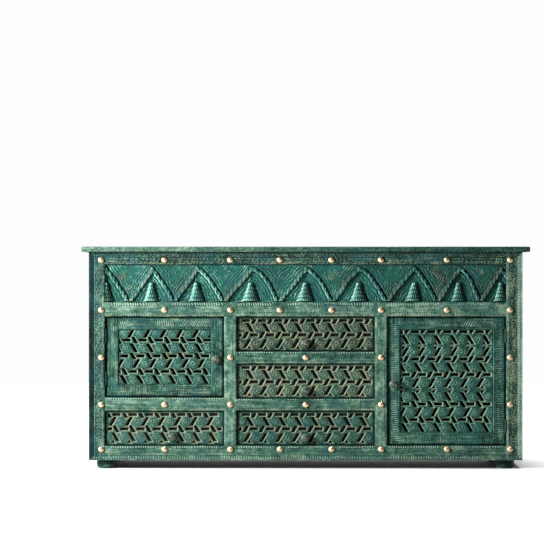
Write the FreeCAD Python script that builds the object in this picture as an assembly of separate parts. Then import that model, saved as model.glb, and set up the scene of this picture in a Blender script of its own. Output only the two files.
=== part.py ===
import FreeCAD, Part
import math
import os

# Carved sideboard: a face-framed case with two pierced doors and four pierced drawers.
# Millimetres. X runs along the length, the front faces -Y and +Z is up.
# The origin is on the floor, under the middle of the top board.

# Top board
TOP_LENGTH = 1600.0
TOP_DEPTH = 420.0
TOP_THICKNESS = 19.0
TOP_ROUNDING = 4.0
TOP_SIDE_OVERHANG = 25.0
TOP_FRONT_OVERHANG = 25.0

# Heights of the face, from the floor up
FOOT_HEIGHT = 31.0
BASE_RAIL_HEIGHT = 53.0
OPENING_HEIGHT = 460.0
FRIEZE_RAIL_HEIGHT = 54.0
FRIEZE_HEIGHT = 133.0
TOP_RAIL_HEIGHT = 45.0
CENTRE_CROSS_RAIL_HEIGHT = 45.0
LEFT_CROSS_RAIL_HEIGHT = 49.0

# Face frame
FRAME_THICKNESS = 24.0
FRAME_ROUNDING = 4.0
POST_WIDTH = 58.0
STILE_WIDTH = 46.0
CENTRE_OPENING_WIDTH = 493.0
TENON_SHOULDER = 8.0
TENON_LENGTH_SHARE = 0.4
TENON_THICKNESS_SHARE = 0.4

# Frieze panel, held in grooves of the posts and rails round it
FRIEZE_THICKNESS = 12.0
FRIEZE_BACK_MARGIN = 2.0
FRIEZE_TONGUE = 5.0

# Case boards
SIDE_THICKNESS = 18.0
PARTITION_THICKNESS = 18.0
BOTTOM_THICKNESS = 18.0
SHELF_THICKNESS = 18.0
RIGHT_SHELF_SETBACK = 30.0
RIGHT_SHELF_HEIGHT_SHARE = 0.5
BACK_THICKNESS = 8.0
HOUSING_DEPTH = 6.0

# Bun feet and the corner blocks that hold their dowels
FOOT_RADIUS = 36.5
FOOT_ROUNDING = 10.0
FOOT_SIDE_INSET = 61.0
FOOT_DEPTH_INSET = 55.0
FOOT_DOWEL_RADIUS = 10.0
FOOT_DOWEL_LENGTH = 20.0
FOOT_BLOCK_SIDE = 84.0

# Domed studs
STUD_RADIUS = 11.5
STUD_HEIGHT = 8.0
STUD_SHANK_RADIUS = 1.5
STUD_SHANK_LENGTH = 14.0
STUD_HOLE_CLEARANCE = 0.05
STUD_POST_INSET = 14.0
STUD_CENTRE_BAY_SHARE = 0.187
STUD_TOP_RAIL_SHARE = 0.36
STUD_FRIEZE_RAIL_SHARE = 0.44
STUD_CROSS_RAIL_SHARE = 0.5
STUD_BASE_RAIL_SHARE = 0.73

# Doors
DOOR_THICKNESS = 22.0
DOOR_RECESS = 9.0
DOOR_GAP = 2.0
DOOR_HINGE_GAP = 3.0
DOOR_MEMBER_WIDTH = 44.0
DOOR_ROUNDING = 3.0
DOOR_TENON_SHOULDER = 8.0
DOOR_TENON_LENGTH_SHARE = 0.5
DOOR_JALI_RECESS = 5.0
DOOR_JALI_THICKNESS = 12.0
DOOR_JALI_TONGUE = 6.0
DOOR_JALI_BORDER = 2.0
DOOR_STOP_LENGTH = 30.0
DOOR_STOP_THICKNESS = 16.0
DOOR_STOP_HEIGHT = 40.0
DOOR_STOP_CLEARANCE = 0.3
DOOR_STOP_HEIGHT_SHARE = 0.78

# Butt hinges
HINGE_LENGTH = 50.0
HINGE_END_DISTANCE = 40.0
HINGE_LEAF_WIDTH = 15.0
HINGE_LEAF_THICKNESS = 1.2
HINGE_BARREL_RADIUS = 3.5
HINGE_AXIS_PROUD = 1.0
HINGE_PIN_RADIUS = 1.75
HINGE_PIN_CLEARANCE = 0.05
HINGE_KNUCKLE_GAP = 0.4
HINGE_NOTCH_CLEARANCE = 0.4

# Drawers
DRAWER_GAP = 1.5
DRAWER_RECESS = 10.0
DRAWER_FRONT_THICKNESS = 10.0
DRAWER_JALI_BORDER = 7.0
DRAWER_BACKING_THICKNESS = 9.0
DRAWER_BOX_INSET = 4.0
DRAWER_BOX_LIFT = 12.0
DRAWER_SIDE_THICKNESS = 10.0
DRAWER_TOP_CLEARANCE = 19.0
DRAWER_REAR_CLEARANCE = 33.0
DRAWER_BACK_THICKNESS = 10.0
DRAWER_BOTTOM_THICKNESS = 5.0
DRAWER_GROOVE_DEPTH = 4.0
DRAWER_GROOVE_LIFT = 5.0
RUNNER_CLEARANCE = 0.3
RUNNER_SIDE_CLEARANCE = 0.5
RUNNER_FRONT_CLEARANCE = 2.0
RUNNER_GUIDE_HEIGHT = 26.0

# Turned knobs
KNOB_RADIUS = 16.0
KNOB_LENGTH = 24.0
KNOB_SHANK_RADIUS = 4.0
KNOB_END_CLEARANCE = 1.0
KNOB_FLANGE_SHARE = 0.7
KNOB_NECK_SHARE = 0.5
KNOB_FLANGE_EDGE_SHARE = 0.08
KNOB_NECK_END_SHARE = 0.2
KNOB_HEAD_WIDEST_SHARE = 0.45
KNOB_LOWER_BULGE_SHARES = (0.85, 0.27)

# Pierced lattice (jali): rosettes in rows, with slanted slots between them
JALI_PITCH = 58.0
JALI_ROW_PITCH = 58.0
JALI_SLANT_DEGREES = 60.0
JALI_SLOT_WIDTH = 9.5
JALI_ROW_SLOT_LENGTH = 36.0
JALI_BETWEEN_SLOT_LENGTH = 27.0
JALI_DASH_LENGTH = 27.0
JALI_POINT_WIDTH = 14.0
JALI_POINT_HEIGHT = 9.5
JALI_POINT_SPACING = 8.0
JALI_LEAST_SLOT_SHARE = 0.2

# Each band of a lattice, from the top of its field down: kind, drop from the band above as a share
# of the row pitch, place of its rosettes or dashes and of its slots as shares of the pitch, measured
# from the middle of the field, and the lean of its slots (1 is /, -1 is \, 0 is none) or, for tips,
# which way they point (1 is up, -1 is down). Tips and points have no rosettes or dashes, and hold the
# share of the full size of a point in that place.
LEFT_DOOR_BAND_SHARES = (
    ("rosettes", 0.21, 0.47, 0.91, 1),
    ("dashes", 0.41, 0.66, 0.15, -1),
    ("rosettes", 0.48, 0.64, 0.10, -1),
    ("dashes", 0.50, 0.51, 0.04, -1),
    ("rosettes", 0.46, 0.75, 0.25, 1),
    ("dashes", 0.50, 0.04, 0.53, -1),
    ("rosettes", 0.49, 0.03, 0.47, -1),
)
RIGHT_DOOR_BAND_SHARES = (
    ("tips", 0.00, 1.30, 0.57, -1),
    ("dashes", 0.10, 0.09, 0.57, 0),
    ("rosettes", 0.48, 0.97, 0.49, -1),
    ("points", 0.38, 1.00, 0.355, 0),
    ("rosettes", 0.37, 0.91, 0.47, 1),
    ("dashes", 0.46, 0.09, 0.52, 1),
    ("rosettes", 0.51, 0.71, 0.26, -1),
    ("dashes", 0.45, 0.52, 0.00, 1),
    ("rosettes", 0.51, 0.56, 0.10, 1),
    ("points", 0.40, 1.00, 0.235, 0),
    ("rosettes", 0.44, 0.57, 0.11, -1),
    ("dashes", 0.47, 0.51, 0.03, -1),
    ("rosettes", 0.50, 0.71, 0.27, 1),
    ("dashes", 0.46, 0.00, 0.48, -1),
    ("rosettes", 0.48, 0.91, 0.43, -1),
)
LEFT_DRAWER_BAND_SHARES = (
    ("dashes", 0.09, 0.05, 0.55, -1),
    ("rosettes", 0.42, 0.28, 0.80, 1),
    ("dashes", 0.47, 0.53, 0.02, -1),
    ("rosettes", 0.48, 0.47, 0.98, -1),
    ("tips", 0.37, 0.95, 0.83, 1),
)
CENTRE_DRAWER_BAND_SHARES = (
    ("dashes", 0.09, 0.33, 0.85, 1),
    ("rosettes", 0.42, 0.10, 0.58, -1),
    ("dashes", 0.47, 0.82, 0.32, 1),
    ("rosettes", 0.53, 0.91, 0.40, 1),
    ("tips", 0.32, 0.95, 0.55, 1),
)

# A drawer's knob sits on the rosette in the middle of its lower row, and the left one is off centre.
# Across, a drawer's share is of the lattice pitch from the middle, and a door's is of the closing
# stile from the door's edge. Up, a share is of the height of the front.
LEFT_DRAWER_KNOB_SHARES = (0.43, 0.238)
CENTRE_DRAWER_KNOB_SHARES = (-0.05, 0.214)
LEFT_DOOR_KNOB_SHARES = (0.62, 0.468)
RIGHT_DOOR_KNOB_SHARES = (0.44, 0.476)

OVERRUN = 1.0
DRAWERS_IN_CENTRE = 3

# Planes that the pieces share
BODY_HALF = TOP_LENGTH / 2 - TOP_SIDE_OVERHANG
POST_INNER = BODY_HALF - POST_WIDTH
CENTRE_HALF = CENTRE_OPENING_WIDTH / 2
STILE_OUTER = CENTRE_HALF + STILE_WIDTH
STILE_MIDDLE = (CENTRE_HALF + STILE_OUTER) / 2
SIDE_INNER = BODY_HALF - SIDE_THICKNESS
PARTITION_INNER = STILE_MIDDLE - PARTITION_THICKNESS / 2
PARTITION_OUTER = STILE_MIDDLE + PARTITION_THICKNESS / 2

FRONT_Y = -TOP_DEPTH / 2 + TOP_FRONT_OVERHANG
FRAME_BACK_Y = FRONT_Y + FRAME_THICKNESS
BACK_Y = TOP_DEPTH / 2
BACK_PANEL_Y = BACK_Y - BACK_THICKNESS

OPENING_BOTTOM = FOOT_HEIGHT + BASE_RAIL_HEIGHT
OPENING_TOP = OPENING_BOTTOM + OPENING_HEIGHT
FRIEZE_BOTTOM = OPENING_TOP + FRIEZE_RAIL_HEIGHT
FRIEZE_TOP = FRIEZE_BOTTOM + FRIEZE_HEIGHT
BODY_TOP = FRIEZE_TOP + TOP_RAIL_HEIGHT
BOTTOM_UNDERSIDE = OPENING_BOTTOM - BOTTOM_THICKNESS

CROSS_RAILS_TOTAL = (DRAWERS_IN_CENTRE - 1) * CENTRE_CROSS_RAIL_HEIGHT
DRAWER_OPENING_HEIGHT = (OPENING_HEIGHT - CROSS_RAILS_TOTAL) / DRAWERS_IN_CENTRE
DRAWER_STEP = DRAWER_OPENING_HEIGHT + CENTRE_CROSS_RAIL_HEIGHT
LEFT_CROSS_RAIL_BOTTOM = OPENING_BOTTOM + DRAWER_OPENING_HEIGHT
LEFT_DOOR_BOTTOM = LEFT_CROSS_RAIL_BOTTOM + LEFT_CROSS_RAIL_HEIGHT

DOOR_FRONT_Y = FRONT_Y + DOOR_RECESS
DOOR_BACK_Y = DOOR_FRONT_Y + DOOR_THICKNESS
DOOR_JALI_Y = DOOR_FRONT_Y + DOOR_JALI_RECESS
DRAWER_FRONT_Y = FRONT_Y + DRAWER_RECESS
BACKING_Y = DRAWER_FRONT_Y + DRAWER_FRONT_THICKNESS
DRAWER_SIDE_Y = BACKING_Y + DRAWER_BACKING_THICKNESS
DRAWER_REAR_Y = BACK_PANEL_Y - DRAWER_REAR_CLEARANCE

HINGE_AXIS_X = POST_INNER - DOOR_HINGE_GAP / 2
HINGE_AXIS_Y = DOOR_FRONT_Y - HINGE_AXIS_PROUD

LEFT = -1
RIGHT = 1
Y_AXIS = FreeCAD.Vector(0, 1, 0)
Z_AXIS = FreeCAD.Vector(0, 0, 1)


def block(x_span, y_span, z_span):
    """A box between two planes on each axis, given in either order."""
    low = [min(span) for span in (x_span, y_span, z_span)]
    size = [abs(span[1] - span[0]) for span in (x_span, y_span, z_span)]
    return Part.makeBox(*size, FreeCAD.Vector(*low))


def rounded_front(shape, axis, radius):
    """Rounds the two front edges of a plain bar that runs along axis (0 is X, 2 is Z)."""
    front = shape.BoundBox.YMin
    edges = []
    for edge in shape.Edges:
        start, end = [vertex.Point for vertex in edge.Vertexes]
        at_front = abs(start.y - front) < OVERRUN and abs(end.y - front) < OVERRUN
        along = abs(start[axis] - end[axis]) > OVERRUN
        if at_front and along:
            edges.append(edge)
    return shape.makeFillet(radius, edges)


def cylinder_y(x, z, radius, y_start, y_end):
    """A round bar along Y."""
    return Part.makeCylinder(radius, y_end - y_start, FreeCAD.Vector(x, y_start, z), Y_AXIS)


def turned_y(x, y, z, edges):
    """A solid turned about the Y axis line through (x, z), from profile edges drawn at y in (radius, depth)."""
    face = Part.Face(Part.Wire(edges))
    face.translate(FreeCAD.Vector(x, y, z))
    return face.revolve(FreeCAD.Vector(x, y, z), Y_AXIS, 360)


def line(start, end):
    return Part.makeLine(FreeCAD.Vector(*start, 0), FreeCAD.Vector(*end, 0))


def arc(start, middle, end):
    return Part.Arc(*[FreeCAD.Vector(*point, 0) for point in (start, middle, end)]).toShape()


def dome_arc(radius, base, height):
    """The outline of a spherical cap centred on the turning axis, from its rim at base to its crown."""
    sphere = (radius ** 2 + height ** 2) / (2 * height)
    centre = base - height + sphere
    half_angle = math.acos((centre - base) / sphere) / 2
    middle = (sphere * math.sin(half_angle), centre - sphere * math.cos(half_angle))
    return arc((radius, base), middle, (0, base - height))


# Face frame

def frame_tenon_span():
    """The front and back planes of every tenon of the face frame, centred in its thickness."""
    margin = FRAME_THICKNESS * (1 - TENON_THICKNESS_SHARE) / 2
    return (FRONT_Y + margin, FRAME_BACK_Y - margin)


def frame_rail(x_span, z_span, left_member, right_member):
    """A rounded rail with a tenon at each end, sized by the width of the member that the end enters."""
    bar = block(x_span, (FRONT_Y, FRAME_BACK_Y), z_span)
    bar = rounded_front(bar, 0, FRAME_ROUNDING)
    tenon_x = (
        x_span[0] - left_member * TENON_LENGTH_SHARE,
        x_span[1] + right_member * TENON_LENGTH_SHARE,
    )
    tenon_z = (z_span[0] + TENON_SHOULDER, z_span[1] - TENON_SHOULDER)
    return bar.fuse(block(tenon_x, frame_tenon_span(), tenon_z)).removeSplitter()


def frame_stile(side):
    """An upright between the base rail and the frieze rail, tenoned into both."""
    bar = block(
        (side * CENTRE_HALF, side * STILE_OUTER),
        (FRONT_Y, FRAME_BACK_Y),
        (OPENING_BOTTOM, OPENING_TOP),
    )
    bar = rounded_front(bar, 2, FRAME_ROUNDING)
    tenon_x = (
        side * (CENTRE_HALF + TENON_SHOULDER),
        side * (STILE_OUTER - TENON_SHOULDER),
    )
    tenon_z = (
        OPENING_BOTTOM - BASE_RAIL_HEIGHT * TENON_LENGTH_SHARE,
        OPENING_TOP + FRIEZE_RAIL_HEIGHT * TENON_LENGTH_SHARE,
    )
    return bar.fuse(block(tenon_x, frame_tenon_span(), tenon_z)).removeSplitter()


def frame_post(side):
    """A corner upright of the face, from the feet to the top board."""
    bar = block(
        (side * POST_INNER, side * BODY_HALF),
        (FRONT_Y, FRAME_BACK_Y),
        (FOOT_HEIGHT, BODY_TOP),
    )
    return rounded_front(bar, 2, FRAME_ROUNDING)


def frieze_panel():
    """The panel behind the arcade carving, with a tongue on all four edges."""
    back = FRAME_BACK_Y - FRIEZE_BACK_MARGIN
    reach = POST_INNER + FRIEZE_TONGUE
    return block(
        (-reach, reach),
        (back - FRIEZE_THICKNESS, back),
        (FRIEZE_BOTTOM - FRIEZE_TONGUE, FRIEZE_TOP + FRIEZE_TONGUE),
    )


def stud_places():
    """Where the domed studs stand on the face, as (x, z)."""
    post = POST_INNER + STUD_POST_INSET
    bay = (STILE_OUTER + POST_INNER) / 2
    centre = CENTRE_OPENING_WIDTH * STUD_CENTRE_BAY_SHARE
    full_row = [side * x for side in (LEFT, RIGHT) for x in (post, bay, STILE_MIDDLE, centre)]
    lower_z = LEFT_CROSS_RAIL_BOTTOM + CENTRE_CROSS_RAIL_HEIGHT * STUD_CROSS_RAIL_SHARE
    rows = {
        FRIEZE_TOP + TOP_RAIL_HEIGHT * STUD_TOP_RAIL_SHARE: full_row,
        OPENING_TOP + FRIEZE_RAIL_HEIGHT * STUD_FRIEZE_RAIL_SHARE: full_row,
        lower_z + DRAWER_STEP: [-post, -STILE_MIDDLE, 0, STILE_MIDDLE, post],
        lower_z: [-post, -bay, -STILE_MIDDLE, 0, STILE_MIDDLE, post],
        FOOT_HEIGHT + BASE_RAIL_HEIGHT * STUD_BASE_RAIL_SHARE: full_row,
    }
    return [(x, z) for z, row in rows.items() for x in row]


def brass_stud(x, z):
    """A spherical dome on a nail shank."""
    edges = [
        line((0, STUD_SHANK_LENGTH), (STUD_SHANK_RADIUS, STUD_SHANK_LENGTH)),
        line((STUD_SHANK_RADIUS, STUD_SHANK_LENGTH), (STUD_SHANK_RADIUS, 0)),
        line((STUD_SHANK_RADIUS, 0), (STUD_RADIUS, 0)),
        dome_arc(STUD_RADIUS, 0, STUD_HEIGHT),
        line((0, -STUD_HEIGHT), (0, STUD_SHANK_LENGTH)),
    ]
    return turned_y(x, FRONT_Y, z, edges)


def face_frame():
    """Posts, rails, stiles and frieze, jointed with tenons and bored for the studs."""
    inside = (-POST_INNER, POST_INNER)
    panel = frieze_panel()
    stiles = {LEFT: frame_stile(LEFT), RIGHT: frame_stile(RIGHT)}
    posts = {LEFT: frame_post(LEFT), RIGHT: frame_post(RIGHT)}
    rails = {
        "top_rail": frame_rail(inside, (FRIEZE_TOP, BODY_TOP), POST_WIDTH, POST_WIDTH),
        "frieze_rail": frame_rail(inside, (OPENING_TOP, FRIEZE_BOTTOM), POST_WIDTH, POST_WIDTH),
        "base_rail": frame_rail(inside, (FOOT_HEIGHT, OPENING_BOTTOM), POST_WIDTH, POST_WIDTH),
    }
    left_cross = frame_rail(
        (-POST_INNER, -STILE_OUTER),
        (LEFT_CROSS_RAIL_BOTTOM, LEFT_DOOR_BOTTOM),
        POST_WIDTH,
        STILE_WIDTH,
    )
    centre_cross = []
    for step in range(1, DRAWERS_IN_CENTRE):
        top = OPENING_BOTTOM + step * DRAWER_STEP
        centre_cross.append(
            frame_rail(
                (-CENTRE_HALF, CENTRE_HALF),
                (top - CENTRE_CROSS_RAIL_HEIGHT, top),
                STILE_WIDTH,
                STILE_WIDTH,
            )
        )

    for side in (LEFT, RIGHT):
        posts[side] = posts[side].cut([*rails.values(), panel, left_cross, *hinge_notches(side)])
    for name in ("frieze_rail", "base_rail"):
        rails[name] = rails[name].cut(list(stiles.values()))
    for name in ("top_rail", "frieze_rail"):
        rails[name] = rails[name].cut(panel)
    for side in (LEFT, RIGHT):
        stiles[side] = stiles[side].cut([left_cross, *centre_cross])

    hole_radius = STUD_SHANK_RADIUS + STUD_HOLE_CLEARANCE
    hole_end = FRONT_Y + STUD_SHANK_LENGTH + STUD_HOLE_CLEARANCE
    holes = [cylinder_y(x, z, hole_radius, FRONT_Y - OVERRUN, hole_end) for x, z in stud_places()]
    members = {
        "left_post": posts[LEFT],
        "right_post": posts[RIGHT],
        **rails,
        "left_stile": stiles[LEFT],
        "right_stile": stiles[RIGHT],
        "left_cross_rail": left_cross,
    }
    nodes = {name: member.cut(holes) for name, member in members.items()}
    nodes["centre_cross_rails"] = Part.makeCompound([rail.cut(holes) for rail in centre_cross])
    nodes["frieze_panel"] = panel
    nodes["brass_studs"] = Part.makeCompound([brass_stud(x, z) for x, z in stud_places()])
    return nodes


# Case

def top_board():
    """The slab, rounded along its front and both ends."""
    half = TOP_LENGTH / 2
    slab = block((-half, half), (-TOP_DEPTH / 2, BACK_Y), (BODY_TOP, BODY_TOP + TOP_THICKNESS))
    edges = []
    for edge in slab.Edges:
        start, end = [vertex.Point for vertex in edge.Vertexes]
        level = abs(start.z - end.z) < OVERRUN
        at_back = abs(start.y - BACK_Y) < OVERRUN and abs(end.y - BACK_Y) < OVERRUN
        if level and not at_back:
            edges.append(edge)
    return slab.makeFillet(TOP_ROUNDING, edges)


def shelf(x_span, front_y, top_z):
    """A shelf let into housings at both ends."""
    low, high = sorted(x_span)
    return block(
        (low - HOUSING_DEPTH, high + HOUSING_DEPTH),
        (front_y, BACK_PANEL_Y),
        (top_z - SHELF_THICKNESS, top_z),
    )


def case_boards():
    """Top, sides, back, bottom, partitions and shelves."""
    right_shelf_top = OPENING_BOTTOM + OPENING_HEIGHT * RIGHT_SHELF_HEIGHT_SHARE
    left_shelf = shelf((-SIDE_INNER, -PARTITION_OUTER), FRAME_BACK_Y, LEFT_DOOR_BOTTOM)
    right_shelf = shelf(
        (PARTITION_OUTER, SIDE_INNER), FRAME_BACK_Y + RIGHT_SHELF_SETBACK, right_shelf_top
    )
    bottom_reach = SIDE_INNER + HOUSING_DEPTH
    bottom = block(
        (-bottom_reach, bottom_reach),
        (FRAME_BACK_Y, BACK_PANEL_Y),
        (BOTTOM_UNDERSIDE, OPENING_BOTTOM),
    )
    nodes = {
        "top_board": top_board(),
        "bottom_board": bottom,
        "left_shelf": left_shelf,
        "right_shelf": right_shelf,
        "back_panel": block(
            (-SIDE_INNER, SIDE_INNER), (BACK_PANEL_Y, BACK_Y), (BOTTOM_UNDERSIDE, BODY_TOP)
        ),
    }
    for side, name in ((LEFT, "left"), (RIGHT, "right")):
        panel = block(
            (side * SIDE_INNER, side * BODY_HALF), (FRAME_BACK_Y, BACK_Y), (FOOT_HEIGHT, BODY_TOP)
        )
        partition = block(
            (side * PARTITION_INNER, side * PARTITION_OUTER),
            (FRAME_BACK_Y, BACK_PANEL_Y),
            (OPENING_BOTTOM, BODY_TOP),
        )
        nodes[name + "_side_panel"] = panel.cut([bottom, left_shelf, right_shelf])
        nodes[name + "_partition"] = partition.cut([left_shelf, right_shelf])
    return nodes


def feet():
    """Four bun feet, each with a dowel in a corner block under the bottom board."""
    buns = []
    blocks = []
    for side in (LEFT, RIGHT):
        x = side * (BODY_HALF - FOOT_SIDE_INSET)
        block_x = (side * SIDE_INNER, side * (SIDE_INNER - FOOT_BLOCK_SIDE))
        front = (FRONT_Y + FOOT_DEPTH_INSET, (FRAME_BACK_Y, FRAME_BACK_Y + FOOT_BLOCK_SIDE))
        rear = (BACK_Y - FOOT_DEPTH_INSET, (BACK_PANEL_Y - FOOT_BLOCK_SIDE, BACK_PANEL_Y))
        for y, block_y in (front, rear):
            bun = Part.makeCylinder(FOOT_RADIUS, FOOT_HEIGHT, FreeCAD.Vector(x, y, 0))
            bottom_edge = [edge for edge in bun.Edges if edge.BoundBox.ZMax < OVERRUN]
            bun = bun.makeFillet(FOOT_ROUNDING, bottom_edge)
            dowel = Part.makeCylinder(
                FOOT_DOWEL_RADIUS, FOOT_DOWEL_LENGTH, FreeCAD.Vector(x, y, FOOT_HEIGHT)
            )
            corner = block(block_x, block_y, (FOOT_HEIGHT, BOTTOM_UNDERSIDE))
            buns.append(bun.fuse(dowel).removeSplitter())
            blocks.append(corner.cut(dowel))
    return {"bun_feet": Part.makeCompound(buns), "foot_blocks": Part.makeCompound(blocks)}


# Pierced lattice

def slot_outline(x, z, length, lean):
    """A level or slanted slot with level ends, as four corners."""
    if lean == 0:
        along = (length / 2, 0)
        across = (0, JALI_SLOT_WIDTH / 2)
    else:
        slant = math.radians(JALI_SLANT_DEGREES)
        along = (lean * math.cos(slant) * length / 2, math.sin(slant) * length / 2)
        across = (JALI_SLOT_WIDTH / math.sin(slant) / 2, 0)
    corners = ((1, 1), (-1, 1), (-1, -1), (1, -1))
    return [
        (x + a * along[0] + b * across[0], z + a * along[1] + b * across[1]) for a, b in corners
    ]


def tip_outline(x, base_z, up, size):
    """A small triangle on a level base, with its tip above it or, if up is -1, below."""
    half = size * JALI_POINT_WIDTH / 2
    return [(x, base_z + up * size * JALI_POINT_HEIGHT), (x - half, base_z), (x + half, base_z)]


def point_outlines(x, z, size):
    """Two small triangles, base to base."""
    return [tip_outline(x, z + side * JALI_POINT_SPACING / 2, side, size) for side in (1, -1)]


def clipped(outline, field):
    """The part of a convex outline inside the field (x low, x high, z low, z high)."""
    limits = ((0, field[0], 1), (0, field[1], -1), (1, field[2], 1), (1, field[3], -1))
    for axis, limit, inward in limits:
        kept = []
        for start, end in zip(outline, outline[1:] + outline[:1]):
            depth_start = (start[axis] - limit) * inward
            depth_end = (end[axis] - limit) * inward
            if depth_start >= 0:
                kept.append(start)
            if depth_start * depth_end < 0:
                share = depth_start / (depth_start - depth_end)
                kept.append(tuple(s + (e - s) * share for s, e in zip(start, end)))
        outline = kept
    return outline


def outline_area(outline):
    pairs = zip(outline, outline[1:] + outline[:1])
    return abs(sum(s[0] * e[1] - e[0] * s[1] for s, e in pairs)) / 2


def jali_outlines(field, start_z, bands):
    """Every slot of a lattice that starts at start_z, clipped to its field; slivers are left solid."""
    middle = (field[0] + field[1]) / 2
    copies = math.ceil((field[1] - field[0]) / JALI_PITCH / 2) + 1
    outlines = []
    z = start_z
    for kind, drop_share, mark_share, slot_share, lean in bands:
        z -= drop_share * JALI_ROW_PITCH
        for copy in range(-copies, copies + 1):
            mark_x = middle + (copy + mark_share) * JALI_PITCH
            slot_x = middle + (copy + slot_share) * JALI_PITCH
            if kind == "dashes":
                outlines.append(slot_outline(mark_x, z, JALI_DASH_LENGTH, 0))
                if lean:
                    outlines.append(slot_outline(slot_x, z, JALI_BETWEEN_SLOT_LENGTH, lean))
            elif kind == "rosettes":
                outlines.append(slot_outline(slot_x, z, JALI_ROW_SLOT_LENGTH, lean))
            elif kind == "tips":
                outlines.append(tip_outline(slot_x, z, lean, mark_share))
            else:
                outlines.extend(point_outlines(slot_x, z, mark_share))
    least = JALI_LEAST_SLOT_SHARE * JALI_DASH_LENGTH * JALI_SLOT_WIDTH
    inside = [clipped(outline, field) for outline in outlines]
    return [outline for outline in inside if len(outline) > 2 and outline_area(outline) > least]


def pierced(panel, field, start_z, bands):
    """The panel with its lattice cut right through it along Y."""
    front = panel.BoundBox.YMin - OVERRUN
    through = FreeCAD.Vector(0, panel.BoundBox.YLength + 2 * OVERRUN, 0)
    cutters = []
    for outline in jali_outlines(field, start_z, bands):
        corners = [FreeCAD.Vector(x, front, z) for x, z in outline]
        cutters.append(Part.Face(Part.makePolygon(corners + corners[:1])).extrude(through))
    return panel.cut(cutters)


# Knobs

def knob(x, y, z, shank_length):
    """A turned knob: flange, waist and round head, with a shank into the wood behind y."""
    flange = KNOB_RADIUS * KNOB_FLANGE_SHARE
    neck = KNOB_RADIUS * KNOB_NECK_SHARE
    flange_edge = -KNOB_LENGTH * KNOB_FLANGE_EDGE_SHARE
    neck_end = -KNOB_LENGTH * KNOB_NECK_END_SHARE
    widest = -KNOB_LENGTH * KNOB_HEAD_WIDEST_SHARE
    lower = (KNOB_RADIUS * KNOB_LOWER_BULGE_SHARES[0], -KNOB_LENGTH * KNOB_LOWER_BULGE_SHARES[1])
    edges = [
        line((0, shank_length), (KNOB_SHANK_RADIUS, shank_length)),
        line((KNOB_SHANK_RADIUS, shank_length), (KNOB_SHANK_RADIUS, 0)),
        line((KNOB_SHANK_RADIUS, 0), (flange, 0)),
        line((flange, 0), (flange, flange_edge)),
        line((flange, flange_edge), (neck, neck_end)),
        arc((neck, neck_end), lower, (KNOB_RADIUS, widest)),
        dome_arc(KNOB_RADIUS, widest, KNOB_LENGTH + widest),
        line((0, -KNOB_LENGTH), (0, shank_length)),
    ]
    return turned_y(x, y, z, edges)


def knob_hole(x, y, z, shank_length):
    return cylinder_y(x, z, KNOB_SHANK_RADIUS, y - OVERRUN, y + shank_length)


# Doors

def door_heights(side):
    """The door's lower and upper edge."""
    bottom = LEFT_DOOR_BOTTOM if side == LEFT else OPENING_BOTTOM
    return (bottom + DOOR_GAP, OPENING_TOP - DOOR_GAP)


def hinge_starts(side):
    """The lower ends of a door's two hinges."""
    low, high = door_heights(side)
    return (low + HINGE_END_DISTANCE, high - HINGE_END_DISTANCE - HINGE_LENGTH)


def hinge_cylinder(side, z, length, radius):
    start = FreeCAD.Vector(side * HINGE_AXIS_X, HINGE_AXIS_Y, z)
    return Part.makeCylinder(radius, length, start, Z_AXIS)


def hinge_notches(side):
    """Round recesses in post and door edge that let the barrel sit in the gap."""
    radius = HINGE_BARREL_RADIUS + HINGE_NOTCH_CLEARANCE
    return [
        hinge_cylinder(side, z - HINGE_NOTCH_CLEARANCE, HINGE_LENGTH + 2 * HINGE_NOTCH_CLEARANCE, radius)
        for z in hinge_starts(side)
    ]


def hinge_leaf(side, z, inner_x, outer_x, knuckles):
    """A plate on the edge of post or door, joined to its knuckles on the pin."""
    plate_y = (HINGE_AXIS_Y + HINGE_BARREL_RADIUS + HINGE_NOTCH_CLEARANCE, HINGE_AXIS_Y + HINGE_LEAF_WIDTH)
    x_span = (side * inner_x, side * outer_x)
    leaf = block(x_span, plate_y, (z, z + HINGE_LENGTH))
    for start, length in knuckles:
        neck = block(x_span, (HINGE_AXIS_Y, plate_y[0]), (z + start, z + start + length))
        leaf = leaf.fuse([neck, hinge_cylinder(side, z + start, length, HINGE_BARREL_RADIUS)])
    bore = HINGE_PIN_RADIUS + HINGE_PIN_CLEARANCE
    bored = leaf.cut(hinge_cylinder(side, z - OVERRUN, HINGE_LENGTH + 2 * OVERRUN, bore))
    return bored.removeSplitter()


def hinges(side):
    """Frame leaves, door leaves and pins of one door."""
    knuckle = (HINGE_LENGTH - 2 * HINGE_KNUCKLE_GAP) / 3
    middle = knuckle + HINGE_KNUCKLE_GAP
    outer_knuckles = ((0, knuckle), (HINGE_LENGTH - knuckle, knuckle))
    door_edge = POST_INNER - DOOR_HINGE_GAP
    frame_leaves = []
    door_leaves = []
    pins = []
    for z in hinge_starts(side):
        frame_leaves.append(
            hinge_leaf(side, z, POST_INNER - HINGE_LEAF_THICKNESS, POST_INNER, outer_knuckles)
        )
        door_leaves.append(
            hinge_leaf(side, z, door_edge, door_edge + HINGE_LEAF_THICKNESS, ((middle, knuckle),))
        )
        pins.append(hinge_cylinder(side, z, HINGE_LENGTH, HINGE_PIN_RADIUS))
    return frame_leaves, door_leaves, pins


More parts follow.
